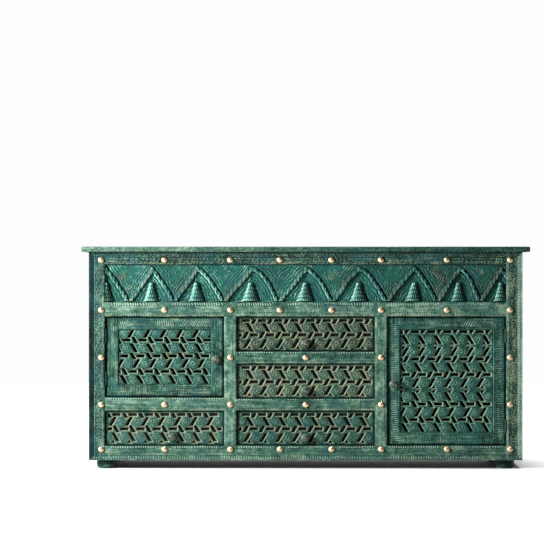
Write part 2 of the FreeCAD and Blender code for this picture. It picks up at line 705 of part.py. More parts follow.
def door(side, bands, knob_shares):
    """A framed door: two stiles, two tenoned rails and a pierced panel in their grooves."""
    low, high = door_heights(side)
    hinge_edge = POST_INNER - DOOR_HINGE_GAP
    closing_edge = STILE_OUTER + DOOR_GAP
    hinge_inner = hinge_edge - DOOR_MEMBER_WIDTH
    closing_inner = closing_edge + DOOR_MEMBER_WIDTH
    thickness = (DOOR_FRONT_Y, DOOR_BACK_Y)
    jali_y = (DOOR_JALI_Y, DOOR_JALI_Y + DOOR_JALI_THICKNESS)
    rail_inner_low = low + DOOR_MEMBER_WIDTH
    rail_inner_high = high - DOOR_MEMBER_WIDTH

    panel = block(
        (side * (closing_inner - DOOR_JALI_TONGUE), side * (hinge_inner + DOOR_JALI_TONGUE)),
        jali_y,
        (rail_inner_low - DOOR_JALI_TONGUE, rail_inner_high + DOOR_JALI_TONGUE),
    )
    tenon_length = DOOR_MEMBER_WIDTH * DOOR_TENON_LENGTH_SHARE
    tenon_x = (side * (closing_inner - tenon_length), side * (hinge_inner + tenon_length))
    rails = []
    rail_spans = (
        ((low, rail_inner_low), (low + DOOR_TENON_SHOULDER, rail_inner_low)),
        ((rail_inner_high, high), (rail_inner_high, high - DOOR_TENON_SHOULDER)),
    )
    for rail_z, tenon_z in rail_spans:
        bar = block((side * closing_inner, side * hinge_inner), thickness, rail_z)
        bar = rounded_front(bar, 0, DOOR_ROUNDING).fuse(block(tenon_x, jali_y, tenon_z))
        rails.append(bar.removeSplitter().cut(panel))

    knob_x = side * (closing_edge + DOOR_MEMBER_WIDTH * knob_shares[0])
    knob_z = low + (high - low) * knob_shares[1]
    stiles = []
    for x_span in ((closing_edge, closing_inner), (hinge_inner, hinge_edge)):
        bar = block([side * x for x in x_span], thickness, (low, high))
        bar = rounded_front(bar, 2, DOOR_ROUNDING)
        hole = knob_hole(knob_x, DOOR_FRONT_Y, knob_z, DOOR_THICKNESS)
        stiles.append(bar.cut([panel, *rails, *hinge_notches(side), hole]))

    inner_x = sorted((side * closing_inner, side * hinge_inner))
    field = (
        inner_x[0] + DOOR_JALI_BORDER,
        inner_x[1] - DOOR_JALI_BORDER,
        rail_inner_low + DOOR_JALI_BORDER,
        rail_inner_high - DOOR_JALI_BORDER,
    )
    return {
        "stiles": Part.makeCompound(stiles),
        "rails": Part.makeCompound(rails),
        "jali": pierced(panel, field, field[3], bands),
        "knob": knob(knob_x, DOOR_FRONT_Y, knob_z, DOOR_THICKNESS),
    }


def door_stop(side):
    """A block on the partition that the closing stile rests against."""
    low, high = door_heights(side)
    middle = low + (high - low) * DOOR_STOP_HEIGHT_SHARE
    front = DOOR_BACK_Y + DOOR_STOP_CLEARANCE
    return block(
        (side * PARTITION_OUTER, side * (PARTITION_OUTER + DOOR_STOP_LENGTH)),
        (front, front + DOOR_STOP_THICKNESS),
        (middle - DOOR_STOP_HEIGHT / 2, middle + DOOR_STOP_HEIGHT / 2),
    )


# Drawers

def lower_row_drop_share(bands):
    """How far the lowest row of rosettes lies under the start of its lattice, in row pitches."""
    rows = [index for index, band in enumerate(bands) if band[0] == "rosettes"]
    return sum(band[1] for band in bands[: rows[-1] + 1])


def drawer(x_span, bottom, bands, knob_shares):
    """A box behind a pierced front with a dark backing."""
    low_z = bottom + DRAWER_GAP
    high_z = bottom + DRAWER_OPENING_HEIGHT - DRAWER_GAP
    front_x = (x_span[0] + DRAWER_GAP, x_span[1] - DRAWER_GAP)
    field = (
        front_x[0] + DRAWER_JALI_BORDER,
        front_x[1] - DRAWER_JALI_BORDER,
        low_z + DRAWER_JALI_BORDER,
        high_z - DRAWER_JALI_BORDER,
    )
    front = block(front_x, (DRAWER_FRONT_Y, BACKING_Y), (low_z, high_z))
    backing = block(front_x, (BACKING_Y, DRAWER_SIDE_Y), (low_z, high_z))

    knob_x = (x_span[0] + x_span[1]) / 2 + knob_shares[0] * JALI_PITCH
    knob_z = low_z + (high_z - low_z) * knob_shares[1]
    lattice_z = knob_z + lower_row_drop_share(bands) * JALI_ROW_PITCH
    backing_left = DRAWER_BACKING_THICKNESS - DRAWER_GROOVE_DEPTH - KNOB_END_CLEARANCE
    shank_length = DRAWER_FRONT_THICKNESS + backing_left
    hole = knob_hole(knob_x, DRAWER_FRONT_Y, knob_z, shank_length)

    box_x = (x_span[0] + DRAWER_BOX_INSET, x_span[1] - DRAWER_BOX_INSET)
    inner_x = (box_x[0] + DRAWER_SIDE_THICKNESS, box_x[1] - DRAWER_SIDE_THICKNESS)
    box_bottom = bottom + DRAWER_BOX_LIFT
    box_top = bottom + DRAWER_OPENING_HEIGHT - DRAWER_TOP_CLEARANCE
    groove_z = (
        box_bottom + DRAWER_GROOVE_LIFT,
        box_bottom + DRAWER_GROOVE_LIFT + DRAWER_BOTTOM_THICKNESS,
    )
    floor = block(
        (inner_x[0] - DRAWER_GROOVE_DEPTH, inner_x[1] + DRAWER_GROOVE_DEPTH),
        (DRAWER_SIDE_Y - DRAWER_GROOVE_DEPTH, DRAWER_REAR_Y),
        groove_z,
    )
    sides = [
        block(x, (DRAWER_SIDE_Y, DRAWER_REAR_Y), (box_bottom, box_top)).cut(floor)
        for x in ((box_x[0], inner_x[0]), (inner_x[1], box_x[1]))
    ]
    back = block(
        inner_x, (DRAWER_REAR_Y - DRAWER_BACK_THICKNESS, DRAWER_REAR_Y), (groove_z[1], box_top)
    )
    return {
        "front": pierced(front, field, lattice_z, bands).cut(hole),
        "backing": backing.cut([floor, hole]),
        "sides": Part.makeCompound(sides),
        "back": back,
        "bottom": floor,
        "knob": knob(knob_x, DRAWER_FRONT_Y, knob_z, shank_length),
    }


def runner(wall_x, box_edge_x, towards, bottom):
    """An L-shaped batten on a case wall: a ledge under the drawer side and a guide beside it."""
    y_span = (max(DRAWER_SIDE_Y, FRAME_BACK_Y) + RUNNER_FRONT_CLEARANCE, BACK_PANEL_Y)
    ledge_top = bottom + DRAWER_BOX_LIFT - RUNNER_CLEARANCE
    ledge_x = (wall_x, box_edge_x + towards * DRAWER_SIDE_THICKNESS)
    guide_x = (wall_x, box_edge_x - towards * RUNNER_SIDE_CLEARANCE)
    ledge = block(ledge_x, y_span, (bottom, ledge_top))
    guide = block(guide_x, y_span, (bottom, ledge_top + RUNNER_GUIDE_HEIGHT))
    return ledge.fuse(guide).removeSplitter()


def runner_pair(walls, x_span, bottom):
    return [
        runner(walls[0], x_span[0] + DRAWER_BOX_INSET, 1, bottom),
        runner(walls[1], x_span[1] - DRAWER_BOX_INSET, -1, bottom),
    ]


def main():
    nodes = {**face_frame(), **case_boards(), **feet()}

    frame_leaves = []
    pins = []
    stops = []
    for side, name, bands, knob_shares in (
        (LEFT, "left_door", LEFT_DOOR_BAND_SHARES, LEFT_DOOR_KNOB_SHARES),
        (RIGHT, "right_door", RIGHT_DOOR_BAND_SHARES, RIGHT_DOOR_KNOB_SHARES),
    ):
        for piece, shape in door(side, bands, knob_shares).items():
            nodes[name + "_" + piece] = shape
        leaves, door_leaves, door_pins = hinges(side)
        nodes[name + "_hinge_leaves"] = Part.makeCompound(door_leaves)
        frame_leaves.extend(leaves)
        pins.extend(door_pins)
        stops.append(door_stop(side))
    nodes["frame_hinge_leaves"] = Part.makeCompound(frame_leaves)
    nodes["hinge_pins"] = Part.makeCompound(pins)
    nodes["door_stops"] = Part.makeCompound(stops)

    left_bay = (-POST_INNER, -STILE_OUTER)
    left_walls = (-SIDE_INNER, -PARTITION_OUTER)
    centre_bay = (-CENTRE_HALF, CENTRE_HALF)
    centre_walls = (-PARTITION_INNER, PARTITION_INNER)
    drawers = [
        ("left_drawer", left_bay, left_walls, 0, LEFT_DRAWER_BAND_SHARES, LEFT_DRAWER_KNOB_SHARES)
    ]
    for step, name in enumerate(("bottom_drawer", "middle_drawer", "top_drawer")):
        drawers.append(
            (name, centre_bay, centre_walls, step, CENTRE_DRAWER_BAND_SHARES, CENTRE_DRAWER_KNOB_SHARES)
        )
    runners = []
    for name, bay, walls, step, bands, knob_shares in drawers:
        bottom = OPENING_BOTTOM + step * DRAWER_STEP
        for piece, shape in drawer(bay, bottom, bands, knob_shares).items():
            nodes[name + "_" + piece] = shape
        runners.extend(runner_pair(walls, bay, bottom))
    nodes["drawer_runners"] = Part.makeCompound(runners)

    os.makedirs("parts", exist_ok=True)
    for name, shape in nodes.items():
        shape.exportStep("parts/" + name + ".step")


main()
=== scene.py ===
"""Looks of a carved and painted cabinet, built around its packed construction model."""
import math
from functools import partial

import bpy
import numpy as np
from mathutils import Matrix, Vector


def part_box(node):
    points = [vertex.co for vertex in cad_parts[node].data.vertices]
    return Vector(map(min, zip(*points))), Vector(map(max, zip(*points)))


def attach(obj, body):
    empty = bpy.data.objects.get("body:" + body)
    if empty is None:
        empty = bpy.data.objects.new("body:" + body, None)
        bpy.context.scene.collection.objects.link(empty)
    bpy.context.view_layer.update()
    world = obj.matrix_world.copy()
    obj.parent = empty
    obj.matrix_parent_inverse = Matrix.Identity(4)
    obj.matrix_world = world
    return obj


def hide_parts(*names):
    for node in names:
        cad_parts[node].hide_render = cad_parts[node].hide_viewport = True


bl_info = {
    "name": "Carved cabinet",
    "version": (1, 0, 0),
    "blender": (4, 5, 0),
    "location": "3D View > Sidebar > Cabinet",
    "description": "Carves, paints and stages a sideboard with pierced doors and drawers",
    "category": "Object",
}

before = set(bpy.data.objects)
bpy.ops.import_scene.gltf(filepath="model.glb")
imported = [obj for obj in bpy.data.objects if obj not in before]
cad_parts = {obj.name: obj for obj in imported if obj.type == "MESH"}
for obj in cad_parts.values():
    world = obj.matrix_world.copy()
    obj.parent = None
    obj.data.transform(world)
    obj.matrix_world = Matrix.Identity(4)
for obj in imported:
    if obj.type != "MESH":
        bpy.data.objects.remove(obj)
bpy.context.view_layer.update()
MM = 0.001

# Planes of the face, read from the construction model
POST_LOW, POST_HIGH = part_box("right_post")
BODY_HALF = POST_HIGH.x
POST_INNER = POST_LOW.x
FRONT_Y = POST_LOW.y
FRAME_BACK_Y = POST_HIGH.y
FACE_BOTTOM = POST_LOW.z
FACE_TOP = POST_HIGH.z
STILE_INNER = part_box("right_stile")[0].x
STILE_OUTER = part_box("right_stile")[1].x
OPENING_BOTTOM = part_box("base_rail")[1].z
OPENING_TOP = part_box("frieze_rail")[0].z
FRIEZE_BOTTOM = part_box("frieze_rail")[1].z
FRIEZE_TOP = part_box("top_rail")[0].z
LEFT_CROSS_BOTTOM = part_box("left_cross_rail")[0].z
LEFT_CROSS_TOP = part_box("left_cross_rail")[1].z
DRAWER_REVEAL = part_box("bottom_drawer_front")[0].z - OPENING_BOTTOM
HINGE_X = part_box("hinge_pins")[1].x
SIDES = {"left": -1, "right": 1}
DOORS = ("left_door", "right_door")
CENTRE_DRAWERS = ("bottom_drawer", "middle_drawer", "top_drawer")
DRAWERS = ("left_drawer",) + CENTRE_DRAWERS

# Openings of the face as (x low, x high, z low, z high), as every outline here is given
CENTRE_OPENINGS = [
    (-STILE_INNER, STILE_INNER, low.z - DRAWER_REVEAL, high.z + DRAWER_REVEAL)
    for low, high in (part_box(name + "_front") for name in CENTRE_DRAWERS)
]
OPENINGS = CENTRE_OPENINGS + [
    (-POST_INNER, POST_INNER, FRIEZE_BOTTOM, FRIEZE_TOP),
    (-POST_INNER, -STILE_OUTER, OPENING_BOTTOM, LEFT_CROSS_BOTTOM),
    (-POST_INNER, -STILE_OUTER, LEFT_CROSS_TOP, OPENING_TOP),
    (STILE_OUTER, POST_INNER, OPENING_BOTTOM, OPENING_TOP),
]

# How light the paint of each carved piece is, from the groove green at 0 to the mint at 1
TONES = {
    "top_rail": 0.28, "frieze_rail": 0.53, "base_rail": 0.48, "left_cross_rail": 0.57,
    "centre_cross_rails": 0.46, "left_post": 0.33, "right_post": 0.40, "left_stile": 0.53,
    "right_stile": 0.53, "frieze_panel": 0.45, "left_door": 0.33, "right_door": 0.36,
    "left_drawer": 0.42, "bottom_drawer": 0.32, "middle_drawer": 0.37, "top_drawer": 0.23,
}
TURNED_TONE = 0.3
KNOB_TONE = 0.24
KNOB_WEAR = 0.5

# How far surfaces stand out for the brush: level ones, hidden sides and the backs of panels
LEVEL_RIDGE = 0.5
SIDE_RIDGE = 0.45
PANEL_BACK_RIDGE = 0.4
RIDGE_REACH = 4.5 * MM
FINE_RIDGE = 3.0 * MM
SHARP_ANGLE = math.radians(50)

# Unevenness of work by hand: the size of its patches, and the seed of its random values
NOISE_CELLS = 64
UNEVENNESS = {
    "face": (30 * MM, 3),
    "border_marks": (3.4 * MM, 9),
    "post_marks": (3.4 * MM, 5),
    "rail_marks": (3.4 * MM, 7),
    "bead_sway": (26 * MM, 31),
    "bead_strength": (22 * MM, 37),
    "stile_beads": (26 * MM, 41),
    "frieze_hand": (14 * MM, 11),
    "frieze_sway": (45 * MM, 23),
    "frieze_breaks": (18 * MM, 29),
    "frieze_raggedness": (8 * MM, 53),
    "frieze_warmth": (90 * MM, 47),
    "door_cuts": (22 * MM, 17),
    "door_strength": (35 * MM, 43),
    "door_face": (24 * MM, 19),
    "panel": (20 * MM, 13),
}

# Carving of the face frame
EDGE_WIDTH = 6 * MM
EDGE_DEPTH = 4 * MM
OUTER_EDGE_WIDTH = 3 * MM
OUTER_EDGE_DEPTH = 2.5 * MM
BORDER_LINE_WIDTH = 1.2 * MM
BORDER_LINE_DEPTH = 1.5 * MM
FACE_WAVINESS = 0.6 * MM
# Width of the painted shade along the openings of the face
PAINTED_SHADE_WIDTH = 2.5 * MM
RUBBED_PLACE = 4 * MM
RUBBED_WIDTH = 5 * MM
BEAD_CHANNEL = 4.2 * MM
BEAD_CHANNEL_DEPTH = 1.2 * MM
BEAD_RISE = 0.75
BEAD_STUD_GAP = 30 * MM
BEAD_LEAN = 0.25
BEAD_SWAY = 2 * MM
BEAD_CROWN = 0.8 * MM
BEAD_WHITENING = 0.3
MARK_DEPTH = 1.4 * MM
POST_MARK_DEPTH = 1.3 * MM
VEIN_WIDTH = 1.6 * MM
VEIN_DEPTH = 1.6 * MM
HINGE_NOTCH_DEPTH = 8 * MM
HINGE_NOTCH_REACH = 4 * MM
POST_NOTCH = (0.0, HINGE_X + HINGE_NOTCH_REACH)
DOOR_NOTCH = ((HINGE_X + POST_INNER) / 2 - 2 * HINGE_NOTCH_REACH, math.inf)

# Level rows of beads: place from the member's edge, slimness across the row, and strength
BEAD_ROWS = {
    "frieze_rail_upper": (-9 * MM, 0.5, 1.0),
    "frieze_rail_lower": (8 * MM, 0.5, 0.4),
    "base_rail": (-6 * MM, 0.8, 1.0),
    "cross_rail_upper": (-5 * MM, 1.0, 1.0),
    "cross_rail_lower": (6 * MM, 1.0, 0.3),
}
FADING_REACH = 500 * MM
RAIL_MIDDLE_WIDTH = 12 * MM
STILE_BEADS_PLACE = 8 * MM
STILE_MIDDLE = (10 * MM, 18 * MM)
# Painted highlight along the left edge of each stile, where the light from the left falls
LEFT_EDGE_HIGHLIGHT_PLACE = 7 * MM
LEFT_EDGE_HIGHLIGHT_WIDTH = 6 * MM

# Bands of punched marks: where they begin and end across a post, and across the top rail
POST_FIELD_START = (20 * MM, 23 * MM)
POST_FIELD_END = (44 * MM, 50 * MM)
# Where the painted highlight along the right post's inner edge begins, across the post
POST_HIGHLIGHT_START = (46 * MM, 49 * MM)
RAIL_BAND_INSET = 3 * MM
RAIL_BAND_FADE = 2 * MM

# Tones of the border: painted shade on the left side and a painted highlight on the right, where the light
# from the left falls on their slopes, and a slightly darker head and foot; and the painted shade left beside
# the frieze and the other openings
LEFT_BORDER_PAINTED_SHADE = -0.60
RIGHT_BORDER_PAINTED_HIGHLIGHT = 0.32
LEVEL_BORDER_TONE = -0.06
FRIEZE_PAINTED_SHADE = 0.1
OPENING_PAINTED_SHADE = 0.35

# Carving of the frieze: an arcade of pointed arches, each with a ringed cone in it
ARCH_PEAK_SHARES = (-0.995, -0.769, -0.545, -0.273, 0.0, 0.266, 0.544, 0.765, 0.976)
ARCH_LEFT_BOWS = (1.05, 1.0, 1.0, 1.0, 1.05, 1.2, 1.25, 1.05, 1.05)
ARCH_RIGHT_BOWS = (1.1, 1.3, 1.6, 1.95, 1.7, 1.7, 1.4, 2.0, 1.2)
ARCH_FOOT = 8 * MM
ARCH_TOP = FRIEZE_TOP - FRIEZE_BOTTOM - 9 * MM
ARCH_SWAY = 4.0 * MM
ARCH_TREMBLE = 2.5 * MM
GROUND_DEPTH = 3.0 * MM
ROPE_HALF = 8 * MM
ROPE_PITCH = 12 * MM
ROPE_LUMP = 20 * MM
STRAND_DEPTH = 0.15 * MM
PARTING_PLACE = 1.0 * MM
PARTING_WIDTH = 1.8 * MM
PARTING_DEPTH = 1.8 * MM
SHADE_WIDTH = 4 * MM
SHADE_DEPTH = 0.8 * MM
LEAF_SLOPE = 1.3
LEAF_CURL = 0.00625 / MM
LEAF_PITCH = 11 * MM
LEAF_DEPTH = 2.6 * MM
NEST_PITCH = 9 * MM
NEST_DEPTH = 2.4 * MM
NEST_REACH = (24 * MM, 40 * MM)
FLUTE_PITCH = 12 * MM
FLUTE_DEPTH = 1.2 * MM
NICHE_REACH = 34 * MM
NICHE_DEPTH = 2.6 * MM
LEDGE_HEIGHTS = (4 * MM, 1.5 * MM)
LEDGE_DEPTH = 2 * MM
CONE_HEIGHT = 70 * MM
CONE_TIP = 4 * MM
CONE_TIP_HALF = 8 * MM
CONE_FOOT_SHARE = 0.36
CONE_TIERS = 5
CONE_GROUND = 5 * MM
CONE_RELIEF = 11 * MM
CONE_GROOVE = 1.2 * MM
CONE_BEAD_PITCH = 7 * MM
CONE_BEAD_RISE = 2.2 * MM
CONE_SHADE_PLACE = 1 * MM
CONE_SHADE_TOP = CONE_HEIGHT + 3 * MM

# Carving of the doors' frames
DOOR_MEMBER = 44 * MM
DOOR_EDGE_WIDTH = 5 * MM
DOOR_EDGE_DEPTH = 4 * MM
DOOR_LINE_PLACE = 8 * MM
DOOR_LINE_WIDTH = 1.6 * MM
DOOR_LINE_DEPTH = 0.35 * MM
DOOR_PAINTED_SHADE_WIDTH = 4 * MM
DOOR_CUT_DEPTH = 1.9 * MM
FEATHER_PITCH = 8 * MM
FEATHER_TURN = 60 * MM
COMB_PITCH = 7.5 * MM
STROKE_PITCH = 9 * MM
DOOR_BAND_START = (0.18, 0.30)
DOOR_BAND_END = (0.72, 0.88)

# Lattice of the pierced panels, as in the construction model
JALI_PITCH = 58 * MM
JALI_SLANT = math.radians(60)
SLOT_WIDTH = 9.5 * MM
ROW_SLOT_LENGTH = 36 * MM
BETWEEN_SLOT_LENGTH = 27 * MM
DASH_LENGTH = 27 * MM
POINT_WIDTH = 14 * MM
POINT_HEIGHT = 9.5 * MM
POINT_SPACING = 8 * MM
LEAST_SLOT = 0.2 * DASH_LENGTH * SLOT_WIDTH
DOOR_JALI_BORDER = 2 * MM
DRAWER_JALI_BORDER = 7 * MM

# Carving of the pierced panels, on a grid that keeps the larger door under the limit of triangles
PANEL_CELL = 1.5 * MM
RIGHT_DOOR_CELL = 1.6 * MM
SLOT_REACH = 9 * MM
BEVEL_DEPTH = 4.4 * MM
RIB_PLACE = 1.0 * MM
RIB_WIDTH = 1.5 * MM
RIB_HEIGHT = 0.5 * MM
PANEL_EDGE_WIDTH = 2 * MM
PANEL_EDGE_DEPTH = 1.5 * MM
PANEL_WAVINESS = 0.5 * MM
ROSETTE_CLEARANCE = (2.5 * MM, 4.5 * MM)
ROSETTE_RADIUS = 18 * MM
ROSETTE_REACH = ROSETTE_RADIUS + 2 * MM
ROSETTE_EDGE = (ROSETTE_RADIUS - 1.5 * MM, ROSETTE_RADIUS + 0.5 * MM)
DOME_HEIGHT = 1.8 * MM
RIM_PLACE = -1.5 * MM
RIM_WIDTH = 1.6 * MM
RIM_DEPTH = 0.9 * MM
RING_RADIUS = 10.5 * MM
RING_WIDTH = 1.8 * MM
RING_DEPTH = 1.1 * MM
SPIRAL_SWAY = 3 * MM
DRILL_RADII = (1.6 * MM, 4.2 * MM)
DRILL_DEPTH = 2.2 * MM

# Wear of each panel's flats, and for doors and drawers the wear of the bevels, how far rosettes and
# bevels are picked out, and the width of the painted shade along the panel's edge
RUBS = {
    "left_door": 0.29, "right_door": 0.18,
    "left_drawer": 0.30, "bottom_drawer": 0.25, "middle_drawer": 0.62, "top_drawer": 0.82,
}
DOOR_BRUSH = (0.50, 0.20, 0.46, 2 * MM)
DRAWER_BRUSH = (0.58, 0.02, 0.34, 5 * MM)

# Bands from the top of a lattice down: kind, drop and places of marks and slots as shares of the
# pitch, and the lean of the slots (1 is /, -1 is \, 0 is none) or the way that tips point. Tips and
# points have no marks, and hold their share of the full size in that place.
LATTICE_SHARES = {
    "left_door": (
        ("rosettes", 0.21, 0.47, 0.91, 1),
        ("dashes", 0.41, 0.66, 0.15, -1),
        ("rosettes", 0.48, 0.64, 0.10, -1),
        ("dashes", 0.50, 0.51, 0.04, -1),
        ("rosettes", 0.46, 0.75, 0.25, 1),
        ("dashes", 0.50, 0.04, 0.53, -1),
        ("rosettes", 0.49, 0.03, 0.47, -1),
    ),
    "right_door": (
        ("tips", 0.00, 1.30, 0.57, -1),
        ("dashes", 0.10, 0.09, 0.57, 0),
        ("rosettes", 0.48, 0.97, 0.49, -1),
        ("points", 0.38, 1.00, 0.355, 0),
        ("rosettes", 0.37, 0.91, 0.47, 1),
        ("dashes", 0.46, 0.09, 0.52, 1),
        ("rosettes", 0.51, 0.71, 0.26, -1),
        ("dashes", 0.45, 0.52, 0.00, 1),
        ("rosettes", 0.51, 0.56, 0.10, 1),
        ("points", 0.40, 1.00, 0.235, 0),
        ("rosettes", 0.44, 0.57, 0.11, -1),
        ("dashes", 0.47, 0.51, 0.03, -1),
        ("rosettes", 0.50, 0.71, 0.27, 1),
        ("dashes", 0.46, 0.00, 0.48, -1),
        ("rosettes", 0.48, 0.91, 0.43, -1),
    ),
    "left_drawer": (
        ("dashes", 0.09, 0.05, 0.55, -1),
        ("rosettes", 0.42, 0.28, 0.80, 1),
        ("dashes", 0.47, 0.53, 0.02, -1),
        ("rosettes", 0.48, 0.47, 0.98, -1),
        ("tips", 0.37, 0.95, 0.83, 1),
    ),
    "centre_drawer": (
        ("dashes", 0.09, 0.33, 0.85, 1),
        ("rosettes", 0.42, 0.10, 0.58, -1),
        ("dashes", 0.47, 0.82, 0.32, 1),
        ("rosettes", 0.53, 0.91, 0.40, 1),
        ("tips", 0.32, 0.95, 0.55, 1),
    ),
}

# Profiles of turned pieces. A knob's: shares of its radius and of its length from the face, and how far
# each place stands out for the brush. A foot's, from the floor up: shares of its radius and height.
KNOB_PROFILE = (
    (0.02, 1.00, 0.7), (0.20, 0.99, 0.7), (0.29, 0.96, 0.5), (0.34, 0.91, 0.1), (0.40, 0.91, 0.1),
    (0.46, 0.95, 0.7), (0.56, 0.93, 0.7), (0.62, 0.86, 0.1), (0.68, 0.85, 0.1), (0.74, 0.88, 0.7),
    (0.84, 0.82, 0.75), (0.93, 0.72, 0.6), (0.99, 0.57, 0.45), (1.00, 0.46, 0.4), (0.96, 0.37, 0.3),
    (0.82, 0.28, 0.2), (0.62, 0.22, 0.1), (0.50, 0.19, 0.1), (0.52, 0.15, 0.2), (0.66, 0.12, 0.5),
    (0.70, 0.08, 0.5), (0.70, -0.05, 0.3),
)
FOOT_PROFILE = (
    (0.02, 0.0), (0.70, 0.0), (0.82, 0.03), (0.92, 0.12), (0.98, 0.28), (1.0, 0.50), (0.99, 0.75),
    (0.95, 0.90), (0.90, 1.0),
)
FOOT_RADIUS = 36.5 * MM
FOOT_SEGMENTS = 48
KNOB_SEGMENTS = 32
STUD_SEGMENTS = 24
STUD_RINGS = 9
STUD_DEPTH = 2 * MM

# Patterns of the finishes
BRUSH_LENGTH = 130 * MM
BRUSH_WIDTH = 6 * MM
LOOSE_BRUSH_WIDTH = 16 * MM
PATCH_SIZE = 90 * MM
RUB_SIZE = 35 * MM
RUB_SHIFT = (3.1, 1.7, 5.3)
SPECKLE_SIZE = 9 * MM
PIT_SIZE = 4 * MM
PAINT_THICKNESS = 0.8 * MM
GRAIN_LENGTH = 180 * MM
GRAIN_WIDTH = 7 * MM
GRAIN_DEPTH = 0.5 * MM
GRAIN_CONTRAST = 2.6
TARNISH_SIZE = 9 * MM
TARNISH_DEPTH = 0.4 * MM
TARNISH_DARKNESS = 0.25
MOTTLE_SIZE = 2 / 3

# Studio: floor, lights, and a dark flag before the right end of the face
FLOOR_REACH = 6.0
FLAG_DIRECTION = Vector((0.5, -0.62, 0.6)).normalized()
KEY_PLACE = Vector((-3.0, -2.1, 1.45))
KEY_AIM = Vector((0.0, FRONT_Y, 0.4))
KEY_SIZE = 0.5
KEY_POWER = 650.0
OVERHEAD_PLACE = (0, 0, 3.0)
OVERHEAD_SPREAD = math.radians(20)
OVERHEAD_POWER = 6.2

# The photograph's view: straight on, with its middle at this place on the face
VIEW_X = -120.3 * MM
VIEW_Z = 704.3 * MM
VIEW_DISTANCE = 8.0
VIEW_WIDTH = 1.945
VIEW_END = 100.0
SENSOR_WIDTH = 36.0


# Settings

def linear(hex_colour):
    """An sRGB hex colour as linear light, with full opacity."""
    channels = [int(hex_colour[i:i + 2], 16) / 255 for i in (1, 3, 5)]
    return tuple(c / 12.92 if c <= 0.04045 else ((c + 0.055) / 1.055) ** 2.4 for c in channels) + (1.0,)


def length_setting(name, description, default):
    """A length that a user may change."""
    return bpy.props.FloatProperty(name=name, description=description, default=default, unit="LENGTH")


def colour_setting(name, description, hex_colour):
    """A colour that a user may change."""
    return bpy.props.FloatVectorProperty(
        name=name, description=description, default=linear(hex_colour), subtype="COLOR", size=4
    )


class CabinetCarving(bpy.types.PropertyGroup):
    """Sizes of the carving that a user would change."""

    cell: length_setting("Grid", "Spacing of the carved grid", 1.5 * MM)
    lip_width: length_setting("Border width", "Width of the moulded outer border", 18 * MM)
    lip_rise: length_setting("Border rise", "How far the border's outer edge stands out", 6 * MM)
    bead_pitch: length_setting("Bead pitch", "Spacing of carved beads", 8.8 * MM)
    bead_radius: length_setting("Bead radius", "Radius of carved beads", 3.3 * MM)
    frieze_relief: length_setting("Frieze relief", "Height of the arch ropes above the panel", 7.5 * MM)
    bevel: length_setting("Slot bevel", "Width of the worn bevel round each slot", 3.6 * MM)


class CabinetPaint(bpy.types.PropertyGroup):
    """Colours of the finishes."""

    deep: colour_setting("Groove green", "Paint left in the grooves", "#010805")
    emerald: colour_setting("Green", "The body of the paint", "#05251D")
    teal: colour_setting("Teal", "Bluer brush strokes", "#042E31")
    sage: colour_setting("Sage", "Paint thinned by rubbing", "#183F34")
    mint: colour_setting("Mint", "Dry brushing on edges and ridges", "#5A7669")
    ochre: colour_setting("Ochre", "Wood and old gilding where the paint is rubbed", "#575640")
    stain: colour_setting("Stain", "Dark stain of the inside", "#070402")
    brass: colour_setting("Brass", "Polished studs", "#B49E7D")


# Shapes as arrays: (points, list of face arrays, values at the points)

def smooth(low, high, value):
    """Rises from 0 at low to 1 at high, level at both ends."""
    t = np.clip((value - low) / (high - low), 0, 1)
    return t * t * (3 - 2 * t)


def wave(phase):
    """A cosine of that many turns, from 0 to 1."""
    return 0.5 + 0.5 * np.cos(2 * np.pi * phase)


def bell(value, middle, width):
    """A rounded peak of height 1 at the middle: exp(-((value - middle) / width)**2)."""
    return np.exp(-((value - middle) / width) ** 2)


def uneven(x, z, kind):
    """Smooth noise from 0 to 1: random values on a lattice, blended between its corners."""
    size, seed = UNEVENNESS[kind]
    values = np.random.default_rng(seed).random((NOISE_CELLS, NOISE_CELLS))
    u = x / size
    v = z / size
    i = np.floor(u).astype(int)
    j = np.floor(v).astype(int)
    share_u = smooth(0, 1, u - i)
    share_v = smooth(0, 1, v - j)
    near, far = (
        values[i % NOISE_CELLS, row % NOISE_CELLS] * (1 - share_u)
        + values[(i + 1) % NOISE_CELLS, row % NOISE_CELLS] * share_u
        for row in (j, j + 1)
    )
    return near * (1 - share_v) + far * share_v


def blurred(grid, reach):
    """The mean of a grid over a square window, reach cells each way, with its edges repeated."""
    width = 2 * reach + 1
    for axis in (0, 1):
        pad = [(0, 0), (0, 0)]
        pad[axis] = (reach + 1, reach)
        total = np.cumsum(np.pad(grid, pad, mode="edge"), axis=axis)
        starts = np.arange(grid.shape[axis])
        grid = (np.take(total, starts + width, axis=axis) - np.take(total, starts, axis=axis)) / width
    return grid


def ridges(detail, cell):
    """How far each point stands above its surroundings: 0.5 is level, 1 a ridge and 0 a groove."""
    broad = detail - blurred(detail, max(2, round(RIDGE_REACH / cell)))
    fine = detail - blurred(detail, 1)
    return np.clip(LEVEL_RIDGE + broad / RIDGE_REACH + fine / FINE_RIDGE, 0, 1)


def joined(shapes):
    """Several shapes as one."""
    points, faces, values = [], [], {}
    count = 0
    for shape_points, shape_faces, shape_values in shapes:
        points.append(shape_points)
        faces.extend(face + count for face in shape_faces)
        count += len(shape_points)
        for key, value in shape_values.items():
            values.setdefault(key, []).append(value)
    return np.concatenate(points), faces, {key: np.concatenate(value) for key, value in values.items()}


def grid_cells(rows, columns):
    """The numbers of a grid's points, and the four corners of each of its cells."""
    index = np.arange(rows * columns).reshape(rows, columns)
    corners = [index[:-1, :-1], index[:-1, 1:], index[1:, 1:], index[1:, :-1]]
    return index, np.stack(corners, axis=-1).reshape(-1, 4)


